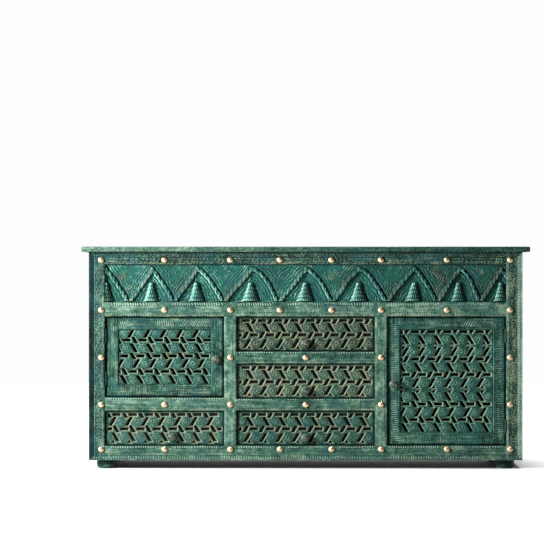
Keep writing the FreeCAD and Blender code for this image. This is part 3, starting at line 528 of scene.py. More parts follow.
def relief_board(x_span, z_span, y_span, carve, tone, upright=False):
    """A board whose front is a carved grid: y = front - height(x, z), with plain sides and back.

    carve(x, z) gives the height, the part of it that the brush picks out, a shift of tone and the wear
    at each point, and tone is the board's own. The grid runs along the board's length, so an upright
    one has its axes swapped and its faces turned.
    """
    front_y, back_y = y_span
    cell = bpy.context.scene.cabinet_carving.cell
    long_span, short_span = (z_span, x_span) if upright else (x_span, z_span)
    columns, rows = (max(2, round((end - start) / cell)) + 1 for start, end in (long_span, short_span))
    along, across = np.meshgrid(np.linspace(*long_span, columns), np.linspace(*short_span, rows))
    x, z = (across, along) if upright else (along, across)
    height, detail, shift, wear = carve(x, z)
    front = np.stack([x, front_y - height, z], axis=-1).reshape(-1, 3)
    flat = np.full(columns, back_y)
    edges = np.concatenate([np.stack([x[row], flat, z[row]], axis=-1) for row in (0, -1)])
    index, cells = grid_cells(rows, columns)
    low = rows * columns + np.arange(columns)
    high = low + columns
    faces = [
        cells,
        np.stack([index[0, 1:], index[0, :-1], low[:-1], low[1:]], axis=-1),
        np.stack([index[-1, :-1], index[-1, 1:], high[1:], high[:-1]], axis=-1),
        np.stack([low[1:], low[:-1], high[:-1], high[1:]], axis=-1),
        np.concatenate([index[:, 0], [high[0], low[0]]])[None],
        np.concatenate([index[::-1, -1], [low[-1], high[-1]]])[None],
    ]
    if upright:
        faces = [face[:, ::-1] for face in faces]
    values = {
        "ridge": np.concatenate([ridges(detail, cell).ravel(), np.full(2 * columns, SIDE_RIDGE)]),
        "tone": np.concatenate([np.clip(tone + shift, 0, 1).ravel(), np.full(2 * columns, tone)]),
        "wear": np.concatenate([wear.ravel(), np.zeros(2 * columns)]),
    }
    return np.concatenate([front, edges]), faces, values


def turned(profile, centre, axis, segments, ridge=None, tone=TURNED_TONE, wear=0.0):
    """A turned shape: the profile's (radius, distance along the axis) carried round it, closed at both ends.

    ridge holds how far each point of the profile stands out for the brush, level where it isn't given.
    """
    radius, distance = np.array(profile).T
    angle = np.linspace(0, 2 * np.pi, segments, endpoint=False)
    ring = np.stack([np.outer(radius, np.cos(angle)), np.outer(radius, np.sin(angle))])
    along = np.repeat(distance[:, None], segments, axis=1)
    if axis == "y":
        points = np.stack([ring[0], along, ring[1]], axis=-1)
    else:
        points = np.stack([ring[0], -ring[1], along], axis=-1)
    rows = len(radius)
    index = np.arange(rows * segments).reshape(rows, segments)
    after = np.roll(index, -1, axis=1)
    faces = [
        np.stack([index[:-1], index[1:], after[1:], after[:-1]], axis=-1).reshape(-1, 4),
        index[0][None],
        index[-1][None, ::-1],
    ]
    points = points.reshape(-1, 3) + np.array(centre)
    ridge = np.full(rows, LEVEL_RIDGE) if ridge is None else np.array(ridge)
    values = {
        "ridge": np.repeat(ridge, segments),
        "tone": np.full(len(points), tone),
        "wear": np.full(len(points), wear),
    }
    return points, faces, values


def placed(name, data, location=(0, 0, 0), turn=(0, 0, 0)):
    """Puts a mesh, light or camera into the scene."""
    item = bpy.data.objects.new(name, data)
    item.location = location
    item.rotation_euler = turn
    bpy.context.scene.collection.objects.link(item)
    return item


def make_piece(node, ending, shape, material, body):
    """Puts a shape into a mesh with its values as attributes, attaches it to its body, and hides the
    construction node it stands for.
    """
    points, faces, values = shape
    mesh = bpy.data.meshes.new(node + ending)
    mesh.vertices.add(len(points))
    mesh.vertices.foreach_set("co", points.astype(np.float32).ravel())
    sizes = np.concatenate([np.full(len(face), face.shape[1]) for face in faces])
    corners = np.concatenate([face.ravel() for face in faces])
    mesh.loops.add(len(corners))
    mesh.loops.foreach_set("vertex_index", corners.astype(np.int32))
    mesh.polygons.add(len(sizes))
    mesh.polygons.foreach_set("loop_start", (np.cumsum(sizes) - sizes).astype(np.int32))
    mesh.polygons.foreach_set("use_smooth", np.ones(len(sizes), bool))
    for key, value in values.items():
        attribute = mesh.attributes.new(key, "FLOAT", "POINT")
        attribute.data.foreach_set("value", value.astype(np.float32))
    mesh.update(calc_edges=True)
    mesh.validate()
    mesh.set_sharp_from_angle(angle=SHARP_ANGLE)
    mesh.materials.append(finish(material))
    piece = placed(node + ending, mesh)
    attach(piece, body)
    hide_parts(node)


def dress(material, *nodes):
    """Gives construction nodes that stay in view their finish."""
    for node in nodes:
        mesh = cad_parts[node].data
        mesh.materials.clear()
        mesh.materials.append(finish(material))


def node_points(node):
    """The points of a construction node, as an array."""
    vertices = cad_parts[node].data.vertices
    points = np.zeros(len(vertices) * 3, np.float32)
    vertices.foreach_get("co", points)
    return points.reshape(-1, 3)


# Materials

def feed(tree, node, inputs):
    """Gives values or links to the inputs of a shader node."""
    for socket, value in inputs.items():
        if isinstance(value, bpy.types.NodeSocket):
            tree.links.new(value, node.inputs[socket])
        else:
            node.inputs[socket].default_value = value


def add(tree, kind, inputs=None, **settings):
    """Adds a shader node, with its settings and with values or links for its inputs."""
    node = tree.nodes.new("ShaderNode" + kind)
    for key, value in settings.items():
        setattr(node, key, value)
    feed(tree, node, inputs or {})
    return node


def new_material(name):
    """An empty material with its output, as (material, tree, shader, place on the piece)."""
    material = bpy.data.materials.new(name)
    material.use_nodes = True
    tree = material.node_tree
    tree.nodes.clear()
    shader = add(tree, "BsdfPrincipled")
    add(tree, "OutputMaterial", {"Surface": shader.outputs[0]})
    return material, tree, shader, add(tree, "TexCoord").outputs["Object"]


def mixed(first, second, share):
    """A colour that share of the way from the first to the second."""
    return [a * (1 - share) + b * share for a, b in zip(first, second)]


def dimmed(colour, share):
    """A colour with its light times that share."""
    return [channel * share for channel in colour[:3]] + [1.0]


def painted_wood(
    name, warmth, pitting, grain=None, carved=True, left=0.68, right=0.28, shine=0.15, dullness=0.45
):
    """Mango wood under hand-brushed chalk paint, rubbed back and dry-brushed.

    The eye sees a satin green with brush streaks along the grain and fine pits, dark paint left in the
    grooves, pale mint dragged over ridges and edges, and brown wood or old gilding where it is rubbed
    through. One value, from groove to ridge, runs along a ramp of the paints. warmth is how far the
    paler paints are yellowed, or cooled below 0, and pitting is the weight of the pits. Boards without
    carving fade from the tone left at one end of the face to the tone right at the other. shine and
    dullness are the strength and the least roughness of the gloss.
    """
    paint = bpy.context.scene.cabinet_paint
    material, tree, shader, place = new_material(name)
    width = BRUSH_WIDTH if grain else LOOSE_BRUSH_WIDTH
    stretch = [1 / BRUSH_LENGTH if axis == grain else 1 / width for axis in "XYZ"]
    along = add(tree, "Mapping", {"Vector": place, "Scale": stretch}).outputs[0]
    shifted = add(tree, "Mapping", {"Vector": place, "Location": RUB_SHIFT}).outputs[0]
    streaks, patches, speckle, pits, rubbed = (
        add(tree, "TexNoise", {"Vector": vector, "Scale": scale, "Detail": detail}).outputs[0]
        for vector, scale, detail in (
            (along, 1.0, 4.0),
            (place, 1 / PATCH_SIZE, 2.0),
            (place, 1 / SPECKLE_SIZE, 5.0),
            (place, 1 / PIT_SIZE, 2.0),
            (shifted, 1 / RUB_SIZE, 5.0),
        )
    )

    # Brush strokes and pits, centred on 0
    pitted = add(tree, "Math", {0: pits, 1: pitting, 2: speckle}, operation="MULTIPLY_ADD").outputs[0]
    brushed = add(tree, "Math", {0: streaks, 1: pitted}, operation="ADD").outputs[0]
    middle = 1 + pitting / 2
    swing = 0.5 if grain else 0.3
    lift = add(
        tree, "MapRange", {0: brushed, 1: middle - 0.5, 2: middle + 0.5, 3: -swing, 4: swing}, clamp=False
    ).outputs[0]

    # The level on the ramp, from the carving or from the place along the face, and the wear
    if carved:
        ridge, tone, worn = (
            add(tree, "Attribute", attribute_name=key).outputs["Fac"] for key in ("ridge", "tone", "wear")
        )
        high = add(tree, "MapRange", {0: ridge, 3: -0.62, 4: 0.62}, clamp=False).outputs[0]
        shade = add(tree, "Math", {0: lift, 1: high}, operation="ADD").outputs[0]
        level = add(tree, "Math", {0: shade, 1: tone}, operation="ADD").outputs[0]
        if grain:
            cloudy = add(tree, "MapRange", {0: rubbed, 1: 0.35, 2: 0.65, 3: -0.16, 4: 0.16}).outputs[0]
            level = add(tree, "Math", {0: level, 1: cloudy}, operation="ADD").outputs[0]
            scratch = add(tree, "MapRange", {0: streaks, 1: 0.58, 2: 0.72, 4: 0.45}).outputs[0]
            worn = add(tree, "Math", {0: worn, 1: scratch}, operation="ADD").outputs[0]
    else:
        worn = add(tree, "MapRange", {0: patches, 1: 0.5, 2: 0.8, 4: 0.3}).outputs[0]
        across = add(tree, "SeparateXYZ", {0: place}).outputs["X"]
        tone_across_face = add(tree, "MapRange", {0: across, 1: -BODY_HALF, 2: BODY_HALF, 3: left, 4: right}).outputs[0]
        level = add(tree, "Math", {0: lift, 1: tone_across_face}, operation="ADD").outputs[0]
    ramp = add(tree, "ValToRGB", {0: level})
    stops = ramp.color_ramp.elements
    stops.new(0.25).color = paint.emerald
    stops.new(0.60).color = mixed(paint.sage, paint.ochre, 0.5 * warmth)
    stops[0].color = paint.deep
    stops[-1].color = mixed(paint.mint, paint.ochre, warmth)

    # Bluer patches, and bare wood where rubbing and wear add up on places that aren't too deep
    hue = add(tree, "MapRange", {0: patches, 1: 0.48, 2: 0.66, 4: 0.45}).outputs[0]
    tinted = add(tree, "Mix", {0: hue, 6: ramp.outputs[0], 7: paint.teal}, data_type="RGBA").outputs[2]
    rub = add(tree, "MapRange", {0: rubbed, 1: 0.3, 2: 0.7, 3: -0.12, 4: 0.22}, clamp=False).outputs[0]
    rub_sum = add(tree, "Math", {0: rub, 1: worn}, operation="ADD").outputs[0]
    wear_here = add(tree, "MapRange", {0: rub_sum, 1: 0.35, 2: 0.85}).outputs[0]
    high_enough = add(tree, "MapRange", {0: level, 1: 0.15, 2: 0.6, 4: 0.85}).outputs[0]
    wear = add(tree, "Math", {0: wear_here, 1: high_enough}, operation="MULTIPLY").outputs[0]
    colour = add(tree, "Mix", {0: wear, 6: tinted, 7: paint.ochre}, data_type="RGBA").outputs[2]
    gloss = add(tree, "MapRange", {0: speckle, 1: 0.3, 2: 0.7, 3: dullness, 4: dullness + 0.2}).outputs[0]
    bump = add(tree, "Bump", {"Height": brushed, "Strength": 0.5, "Distance": PAINT_THICKNESS}).outputs[0]
    feed(tree, shader, {
        "Base Color": colour, "Roughness": gloss, "Normal": bump, "Specular IOR Level": shine,
    })
    return material


def stained_wood(name, grain, strength):
    """Sheesham boards under dark oil stain: near black brown with long paler grain lines, dull.

    A strength under 1 is a darker coat, and one above 1 a paler coat.
    """
    stain = bpy.context.scene.cabinet_paint.stain
    material, tree, shader, place = new_material(name)
    stretch = [1 / GRAIN_LENGTH if axis == grain else 1 / GRAIN_WIDTH for axis in "XYZ"]
    along = add(tree, "Mapping", {"Vector": place, "Scale": stretch}).outputs[0]
    lines = add(
        tree, "TexNoise", {"Vector": along, "Scale": 1.0, "Detail": 5.0, "Distortion": 0.6}
    ).outputs[0]
    dark = dimmed(stain, strength)
    pale = dimmed(stain, GRAIN_CONTRAST * strength)
    share = add(tree, "MapRange", {0: lines, 1: 0.4, 2: 0.7}).outputs[0]
    colour = add(tree, "Mix", {0: share, 6: dark, 7: pale}, data_type="RGBA").outputs[2]
    bump = add(tree, "Bump", {"Height": lines, "Strength": 0.25, "Distance": GRAIN_DEPTH}).outputs[0]
    gloss = add(tree, "MapRange", {0: lines, 1: 0.3, 2: 0.7, 3: 0.65, 4: 0.85}).outputs[0]
    feed(tree, shader, {
        "Base Color": colour, "Roughness": gloss, "Normal": bump, "Specular IOR Level": 0.12,
    })
    return material


def brass(name, roughness, tarnish):
    """Brass, spun or cast and rubbed by hand: warm metal with soft tarnish clouds that dull its gloss."""
    bright = bpy.context.scene.cabinet_paint.brass
    material, tree, shader, place = new_material(name)
    clouds = add(tree, "TexNoise", {"Vector": place, "Scale": 1 / TARNISH_SIZE, "Detail": 4.0}).outputs[0]
    share = add(tree, "MapRange", {0: clouds, 1: 0.45, 2: 0.75, 4: tarnish}).outputs[0]
    dark = dimmed(bright, TARNISH_DARKNESS)
    colour = add(tree, "Mix", {0: share, 6: list(bright), 7: dark}, data_type="RGBA").outputs[2]
    gloss = add(tree, "MapRange", {0: clouds, 1: 0.3, 2: 0.7, 3: roughness, 4: roughness + 0.15}).outputs[0]
    bump = add(tree, "Bump", {"Height": clouds, "Strength": 0.15, "Distance": TARNISH_DEPTH}).outputs[0]
    feed(tree, shader, {"Base Color": colour, "Roughness": gloss, "Normal": bump, "Metallic": 1.0})
    return material


def studio_floor(name):
    """A matt painted studio floor with a faint mottle."""
    material, tree, shader, place = new_material(name)
    mottle = add(tree, "TexNoise", {"Vector": place, "Scale": 1 / MOTTLE_SIZE, "Detail": 2.0}).outputs[0]
    share = add(tree, "MapRange", {0: mottle, 1: 0.3, 2: 0.7}).outputs[0]
    colour = add(
        tree, "Mix", {0: share, 6: linear("#AEAEB0"), 7: linear("#B3B3B4")}, data_type="RGBA"
    ).outputs[2]
    feed(tree, shader, {"Base Color": colour, "Roughness": 0.8})
    return material


FINISHES = {
    "painted_rails": (painted_wood, dict(grain="X", warmth=0.3, pitting=0.3)),
    "painted_uprights": (painted_wood, dict(grain="Z", warmth=0.3, pitting=0.4)),
    "painted_door_rails": (painted_wood, dict(grain="X", warmth=0.1, pitting=0.3)),
    "painted_door_uprights": (painted_wood, dict(grain="Z", warmth=0.1, pitting=0.3)),
    "painted_frieze": (painted_wood, dict(warmth=-0.35, pitting=0.3)),
    "painted_carving": (painted_wood, dict(warmth=0.05, pitting=0.3)),
    "painted_drawer_fronts": (painted_wood, dict(warmth=0.25, pitting=0.3)),
    "waxed_knobs": (painted_wood, dict(warmth=0.5, pitting=0.1, shine=0.3, dullness=0.35)),
    "painted_long_boards": (
        painted_wood, dict(grain="X", carved=False, warmth=0.4, pitting=0.5, left=0.68, right=0.2)
    ),
    "painted_upright_boards": (painted_wood, dict(grain="Z", carved=False, warmth=0.2, pitting=0.5)),
    "painted_hinges": (
        painted_wood, dict(grain="Z", carved=False, warmth=0.0, pitting=0.3, left=0.15, right=0.25)
    ),
    "stained_long_boards": (stained_wood, dict(grain="X", strength=2.0)),
    "stained_upright_boards": (stained_wood, dict(grain="Z", strength=2.0)),
    "stained_deep_boards": (stained_wood, dict(grain="Y", strength=2.0)),
    "stained_back_boards": (stained_wood, dict(grain="X", strength=7.0)),
    "blackened_boards": (stained_wood, dict(grain="X", strength=0.15)),
    "polished_brass": (brass, dict(roughness=0.36, tarnish=0.4)),
    "matt_studio_floor": (studio_floor, dict()),
}


def finish(name):
    """The finish of that name, made the first time it is asked for."""
    if name in bpy.data.materials:
        return bpy.data.materials[name]
    make, settings = FINISHES[name]
    return make(name, **settings)


# Outlines and places

def shrunk(outline, border):
    """An outline with a border taken off its four sides."""
    return outline[0] + border, outline[1] - border, outline[2] + border, outline[3] - border


def depth_inside(x, z, outline):
    """Distance from each point to the nearest side of an outline, negative outside it."""
    in_x = np.minimum(x - outline[0], outline[1] - x)
    in_z = np.minimum(z - outline[2], outline[3] - z)
    return np.minimum(in_x, in_z)


def distance_outside(x, z, outline):
    """Distance from each point to an outline, 0 inside it."""
    dx = np.maximum(np.maximum(outline[0] - x, x - outline[1]), 0)
    dz = np.maximum(np.maximum(outline[2] - z, z - outline[3]), 0)
    return np.hypot(dx, dz)


def front_outline(node):
    """The outline of a construction node, and its front and back y."""
    low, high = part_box(node)
    return (low.x, high.x, low.z, high.z), (low.y, high.y)


def stud_places():
    """The crown of every stud of the construction model, as (x, z)."""
    points = node_points("brass_studs")
    crowns = points[points[:, 1] < points[:, 1].min() + 0.01 * MM]
    return np.unique(np.round(crowns[:, [0, 2]], 4), axis=0)


def stud_columns():
    """The different distances along the face at which studs stand."""
    return np.unique(np.round(stud_places()[:, 0], 3))


def hinge_spans(side):
    """The lower and upper end of each of a door's two hinges, from the heights of their leaves."""
    heights = node_points(side + "_door_hinge_leaves")[:, 2]
    middle = (heights.min() + heights.max()) / 2
    return [(part.min(), part.max()) for part in (heights[heights < middle], heights[heights > middle])]


# Carving of the face

def rounding(edge, width, depth):
    """A quarter ellipse that falls by depth over the last width before an edge."""
    inside = np.clip(1 - edge / width, 0, 1)
    return -depth * (1 - np.sqrt(1 - inside ** 2))


def beads(along, across, jitter=0.0):
    """Half-round beads at each pitch along a row, standing in a channel cut below the face."""
    carving = bpy.context.scene.cabinet_carving
    turns = along / carving.bead_pitch + jitter
    step = (turns - np.round(turns)) * carving.bead_pitch
    ball = 1 - (step ** 2 + across ** 2) / carving.bead_radius ** 2
    dome = carving.bead_radius * np.sqrt(np.clip(ball, 0, None))
    channel = 1 - smooth(0.6 * BEAD_CHANNEL, 1.3 * BEAD_CHANNEL, np.abs(across))
    return channel * (BEAD_RISE * dome - BEAD_CHANNEL_DEPTH)


def bead_row(x, z, edge_z, kind):
    """A level row of beads beside an edge, left plain near each stud and fainter here and there."""
    place, slimness, share = BEAD_ROWS[kind]
    row_z = edge_z + place
    clear = np.min([np.abs(x - place) for place in stud_columns()], axis=0)
    hand = uneven(x, z, "bead_sway") - 0.5
    strength = 0.3 + 0.9 * uneven(x, z, "bead_strength")
    row = beads(x + BEAD_LEAN * (z - row_z), slimness * (z - row_z + BEAD_SWAY * hand), 0.8 * hand)
    row = row * np.clip(strength, 0, 1) * smooth(0.8 * BEAD_STUD_GAP, BEAD_STUD_GAP, clear)
    return share * row


def punched(x, z, kind):
    """Punched marks, close and irregular: 1 in a mark and 0 between marks."""
    return smooth(0.36, 0.64, uneven(x, z, kind))


def rail_edges(x, z):
    """Near 1 along the lower edges of the members above openings, where hands and brooms rub the paint."""
    near = np.zeros(np.shape(x))
    for x_low, x_high, _, z_high in OPENINGS:
        over = bell(z - z_high, RUBBED_PLACE, RUBBED_WIDTH) * (z >= z_high)
        near = np.maximum(near, over * (x > x_low) * (x < x_high))
    return near


def face_carving(x, z):
    """What all members of the face share: worn rounded openings and the raised border round the face.

    The border is a slope that rises to the outer edge, mitred where its four sides meet, with beads
    along its right side and foot and punched marks along its head.
    """
    carving = bpy.context.scene.cabinet_carving
    hand = uneven(x, z, "face") - 0.5
    side = BODY_HALF - np.abs(x)
    head = FACE_TOP - z
    foot = z - FACE_BOTTOM
    edge = np.minimum(np.minimum(side, head), foot)
    along = np.where(side < np.minimum(head, foot), z, x)
    on_left = (side <= edge) & (x < 0)
    slope = carving.lip_rise * np.clip(1 - edge / carving.lip_width, 0, 1)
    marks = -MARK_DEPTH * punched(x, z, "border_marks") * smooth(0, OUTER_EDGE_WIDTH, edge)
    row = np.where(head <= edge, marks, beads(along, edge - 0.5 * carving.lip_width, 0.7 * hand))
    on_border = 1 - smooth(0.9 * carving.lip_width, carving.lip_width, edge)
    line = -BORDER_LINE_DEPTH * bell(edge, carving.lip_width, BORDER_LINE_WIDTH)
    detail = row * on_border * np.where(on_left, 0.15, 1) + line + FACE_WAVINESS * hand
    gap = np.min([distance_outside(x, z, opening) for opening in OPENINGS], axis=0)
    plain = rounding(gap, EDGE_WIDTH, EDGE_DEPTH) + slope
    plain = plain + rounding(edge, OUTER_EDGE_WIDTH, OUTER_EDGE_DEPTH)
    # Painted shade along the openings, fainter beside the frieze
    painted_shade_edge = np.where(z > FRIEZE_TOP, FRIEZE_PAINTED_SHADE, OPENING_PAINTED_SHADE) * bell(gap, 0, PAINTED_SHADE_WIDTH)
    # Painted shade on the left border and a painted highlight on the right, as the light from the left falls
    # on their slopes
    border_painted_light = np.where(x < 0, LEFT_BORDER_PAINTED_SHADE, RIGHT_BORDER_PAINTED_HIGHLIGHT)
    tone = on_border * np.where(side <= edge, border_painted_light, LEVEL_BORDER_TONE) - painted_shade_edge
    return plain + detail, detail + 0.25 * plain, tone, 0.15 + 0.35 * rail_edges(x, z)


def with_cuts(x, z, cuts, tone_shift=0.0):
    """The face with further cuts, which the brush picks out too and whitens on the crowns of beads."""
    height, detail, tone, wear = face_carving(x, z)
    crowns = BEAD_WHITENING * smooth(0, BEAD_CROWN, cuts)
    return height + cuts, detail + cuts, tone + tone_shift + crowns, wear - crowns


def notched(x, z, height, near, far):
    """Height with room for the hinge barrels, between two distances from the middle of the face."""
    cut = np.zeros(np.shape(x), bool)
    for side, sign in SIDES.items():
        for start, end in hinge_spans(side):
            cut |= (sign * x > near) & (sign * x < far) & (z > start) & (z < end)
    return np.where(cut, np.minimum(height, -HINGE_NOTCH_DEPTH), height)


def post_carving(x, z):
    """Punched dots, close and irregular, on the inner field of a post; on the right post the field is darker
    and more worn, and a painted highlight runs along its inner edge, where the light from the left falls.
    """
    inset = BODY_HALF - np.abs(x)
    field = smooth(*POST_FIELD_START, inset) * (1 - smooth(*POST_FIELD_END, inset))
    cuts = -POST_MARK_DEPTH * punched(x, z, "post_marks") * field
    height, detail, tone, wear = with_cuts(x, z, cuts)
    on_right = field * (x > 0)
    # Right post: a darker, more worn field, and a painted highlight along its inner edge
    inner_edge_highlight = smooth(*POST_HIGHLIGHT_START, inset) * (x > 0)
    tone = tone - 0.08 * on_right + 0.2 * inner_edge_highlight
    return notched(x, z, height, *POST_NOTCH), detail, tone, wear + 0.34 * on_right


def top_rail_carving(x, z):
    """Punched marks in a band below the border's own, with a slim line cut between the two."""
    low = FRIEZE_TOP + RAIL_BAND_INSET
    high = FACE_TOP - bpy.context.scene.cabinet_carving.lip_width - RAIL_BAND_FADE
    band = smooth(low - RAIL_BAND_FADE, low + RAIL_BAND_FADE, z)
    band = band * (1 - smooth(high - RAIL_BAND_FADE, high, z))
    cuts = MARK_DEPTH * band * punched(x, z, "rail_marks") + VEIN_DEPTH * bell(z, high, VEIN_WIDTH)
    return with_cuts(x, z, -cuts)


def frieze_rail_carving(x, z):
    """A row of beads along each edge, of which the upper fades to the right, and a plain middle."""
    fading = 1 - 0.6 * smooth(0, FADING_REACH, x)
    rows = fading * bead_row(x, z, FRIEZE_BOTTOM, "frieze_rail_upper")
    rows = rows + bead_row(x, z, OPENING_TOP, "frieze_rail_lower")
    middle = bell(z, (FRIEZE_BOTTOM + OPENING_TOP) / 2, RAIL_MIDDLE_WIDTH)
    return with_cuts(x, z, rows, 0.10 * middle)


def base_rail_carving(x, z):
    """A row of beads along the upper edge; the lower one is part of the border."""
    return with_cuts(x, z, bead_row(x, z, OPENING_BOTTOM, "base_rail"))


def cross_rail_carving(x, z, z_span):
    """A row of beads along the upper edge and a fainter one along the lower."""
    upper = bead_row(x, z, z_span[1], "cross_rail_upper")
    lower = bead_row(x, z, z_span[0], "cross_rail_lower")
    return with_cuts(x, z, upper + lower)


def stile_carving(x, z):
    """A faint row of beads up each side of a middle that is brushed lighter, and a painted highlight along
    the left edge.
    """
    reach = np.minimum(np.abs(x) - STILE_INNER, STILE_OUTER - np.abs(x))
    hand = uneven(x, z, "stile_beads")
    rows = 0.35 * hand * beads(z, reach - STILE_BEADS_PLACE, 0.6 * hand)
    from_left = np.where(x < 0, x + STILE_OUTER, x - STILE_INNER)
    # Painted highlight along the left edge, where the light from the left falls
    left_edge_highlight = bell(from_left, LEFT_EDGE_HIGHLIGHT_PLACE, LEFT_EDGE_HIGHLIGHT_WIDTH) * smooth(0.2, 0.7, hand)
    return with_cuts(x, z, rows, 0.10 * smooth(*STILE_MIDDLE, reach) + 0.3 * left_edge_highlight)


# Carving of the frieze

def arch_places(x):
    """Offset from the arch's peak, half the arch on that side, and its curve's height and steepness.

    The curve falls from the peak as 1 - share**bow of the way to the next valley, and each arch has its
    own bow on either side.
    """
    peaks = np.array(ARCH_PEAK_SHARES) * POST_INNER
    valleys = (peaks[1:] + peaks[:-1]) / 2
    arch = np.searchsorted(valleys, x)
    lows = np.concatenate([[2 * peaks[0] - valleys[0]], valleys])
    highs = np.concatenate([valleys, [2 * peaks[-1] - valleys[-1]]])
    offset = x - peaks[arch]
    half = np.where(offset < 0, peaks[arch] - lows[arch], highs[arch] - peaks[arch])
    share = np.clip(np.abs(offset) / half, 1e-4, 1)
    bow = np.where(offset < 0, np.array(ARCH_LEFT_BOWS)[arch], np.array(ARCH_RIGHT_BOWS)[arch])
    curve = ARCH_FOOT + (ARCH_TOP - ARCH_FOOT) * (1 - share ** bow)
    steepness = (ARCH_TOP - ARCH_FOOT) * bow * share ** (bow - 1) / half
    return offset, half, curve, steepness


def ringed_cone(up, offset, half, hand):
    """A cone that narrows as rise**0.8, in flared tiers with a ring of beads on each.

    Returns its height, where it stands, how far round it each point is from -1 to 1, and its radius.
    """
    rise = np.clip(up / CONE_HEIGHT, 0, 1)
    tier = rise * CONE_TIERS + 0.15 * hand
    step = tier - np.floor(tier)
    foot_half = CONE_FOOT_SHARE * half
    radius = (foot_half + (CONE_TIP_HALF - foot_half) * rise ** 0.8) * (1.05 - 0.10 * step)
    around = np.clip(offset / radius, -1, 1)
    groove = bell(np.minimum(step, 1 - step), 0, 0.15)
    bead = wave(np.arcsin(around) * radius / CONE_BEAD_PITCH + 0.5 * np.floor(tier) + 0.5 * hand)
    relief = CONE_RELIEF - CONE_GROOVE * groove + CONE_BEAD_RISE * bead * (1 - groove)
    cone = np.sqrt(1 - around ** 2) * relief * smooth(CONE_HEIGHT, CONE_HEIGHT - CONE_TIP, up)
    return cone - CONE_GROUND, (np.abs(offset) < radius) & (up < CONE_HEIGHT), around, radius


def frieze_carving(x, z):
    """An arcade of pointed arches with a knobbly double rope along the curve of each.

    Above the ropes nested strokes follow them, and beyond those leaf strokes fan out from each valley,
    each along up = start + slope * u - curl * u**2 at a distance u from the valley. Below them flutes
    follow the arch and sink to a niche, and in the niche stands a cone with rings of beads.
    """
    carving = bpy.context.scene.cabinet_carving
    up = z - FRIEZE_BOTTOM
    offset, half, curve, steepness = arch_places(x)
    hand = uneven(x, z, "frieze_hand") - 0.5
    sway = uneven(x, z, "frieze_sway") - 0.5
    ragged = uneven(x, z, "frieze_raggedness") - 0.5
    broken = smooth(0.3, 0.8, uneven(x, z, "frieze_breaks"))
    away = (up - curve) / np.hypot(1, steepness) + ARCH_SWAY * sway + ARCH_TREMBLE * hand

    # Strokes above the ropes, and flutes below them
    from_valley = half - np.abs(offset)
    leaf = up - LEAF_SLOPE * from_valley + LEAF_CURL * from_valley ** 2
    veins = wave(leaf / LEAF_PITCH + 2.4 * sway + 1.0 * hand)
    nested = wave(away / NEST_PITCH + 0.7 * ragged) * (0.55 + 0.45 * broken)
    near_rope = 1 - smooth(*NEST_REACH, away)
    leaves = LEAF_DEPTH * (1 - near_rope) * veins * (0.2 + 0.8 * broken)
    outside = NEST_DEPTH * near_rope * nested + leaves
    flutes = FLUTE_DEPTH * (1 + broken) * wave(away / FLUTE_PITCH + 0.7 * hand)
    inside = flutes - NICHE_DEPTH * smooth(2 * ROPE_HALF, NICHE_REACH, -away)
    height = np.where(away > -ROPE_HALF, outside, inside)

    # Ropes, with a groove in the shade beside each
    travel = np.hypot(offset, ARCH_TOP - curve)
    swell = wave(travel / ROPE_LUMP + 0.8 * sway + 0.4 * hand)
    waist = ROPE_HALF * (0.82 + 0.18 * swell)
    centre = away + ROPE_HALF
    across = np.clip(1 - (centre / waist) ** 2, 0, None)
    on_rope = across > 0
    strands = STRAND_DEPTH * across * wave((travel + 0.7 * away) / ROPE_PITCH + 1.2 * hand)
    parting = PARTING_DEPTH * bell(centre, PARTING_PLACE, PARTING_WIDTH)
    rope = (GROUND_DEPTH + carving.frieze_relief) * across ** 0.5 * (0.86 + 0.14 * swell)
    past = np.where(offset > 0, centre, -centre) - waist
    shaded = bell(past, 0.6 * SHADE_WIDTH, SHADE_WIDTH) * (past > -0.2 * SHADE_WIDTH)
    height = np.where(on_rope, rope - strands - parting, height) - GROUND_DEPTH - SHADE_DEPTH * shaded

    # Cones, and a ledge along the foot
    cone, on_cone, around, radius = ringed_cone(up, offset, half, hand)
    height = np.where(on_cone, np.maximum(height, cone), height)
    ledge = smooth(*LEDGE_HEIGHTS, up)
    height = height * (1 - ledge) - LEDGE_DEPTH * ledge

    # Paint: painted light and shade on the cones as if lit from the left, painted shadow to the right of each
    # rope and cone, darker towards the right, left limbs of ropes darker and rubbed, and strokes rubbed
    beside = np.where(offset > 0, offset - radius, np.inf)
    cone_shade = bell(beside, CONE_SHADE_PLACE, SHADE_WIDTH) * (up < CONE_SHADE_TOP) * ~on_cone
    cone_painted_light = on_cone * (0.32 - 0.34 * smooth(-0.7, 0.0, around) - 0.45 * smooth(0.0, 0.7, around))
    limbs = ~on_cone * (0.05 * (away < -ROPE_HALF) - 0.14 * on_rope * (offset < 0))
    shade = 0.06 * np.maximum(shaded, cone_shade)
    tone = 0.02 - 0.15 * smooth(-0.2, 0.5, x) + 0.25 * sway + cone_painted_light + limbs - shade
    warm = smooth(0.4, 0.7, uneven(x, 0 * z, "frieze_warmth"))
    strokes_wear = (away > 0) * (0.1 + 0.65 * warm) * broken * veins
    wear = np.where(on_cone, 0, np.where(on_rope, 0.38 * (offset < 0), strokes_wear))
    return height, np.where(on_cone, 0.4, 0.46) * height, tone, wear


# Carving of the doors' frames

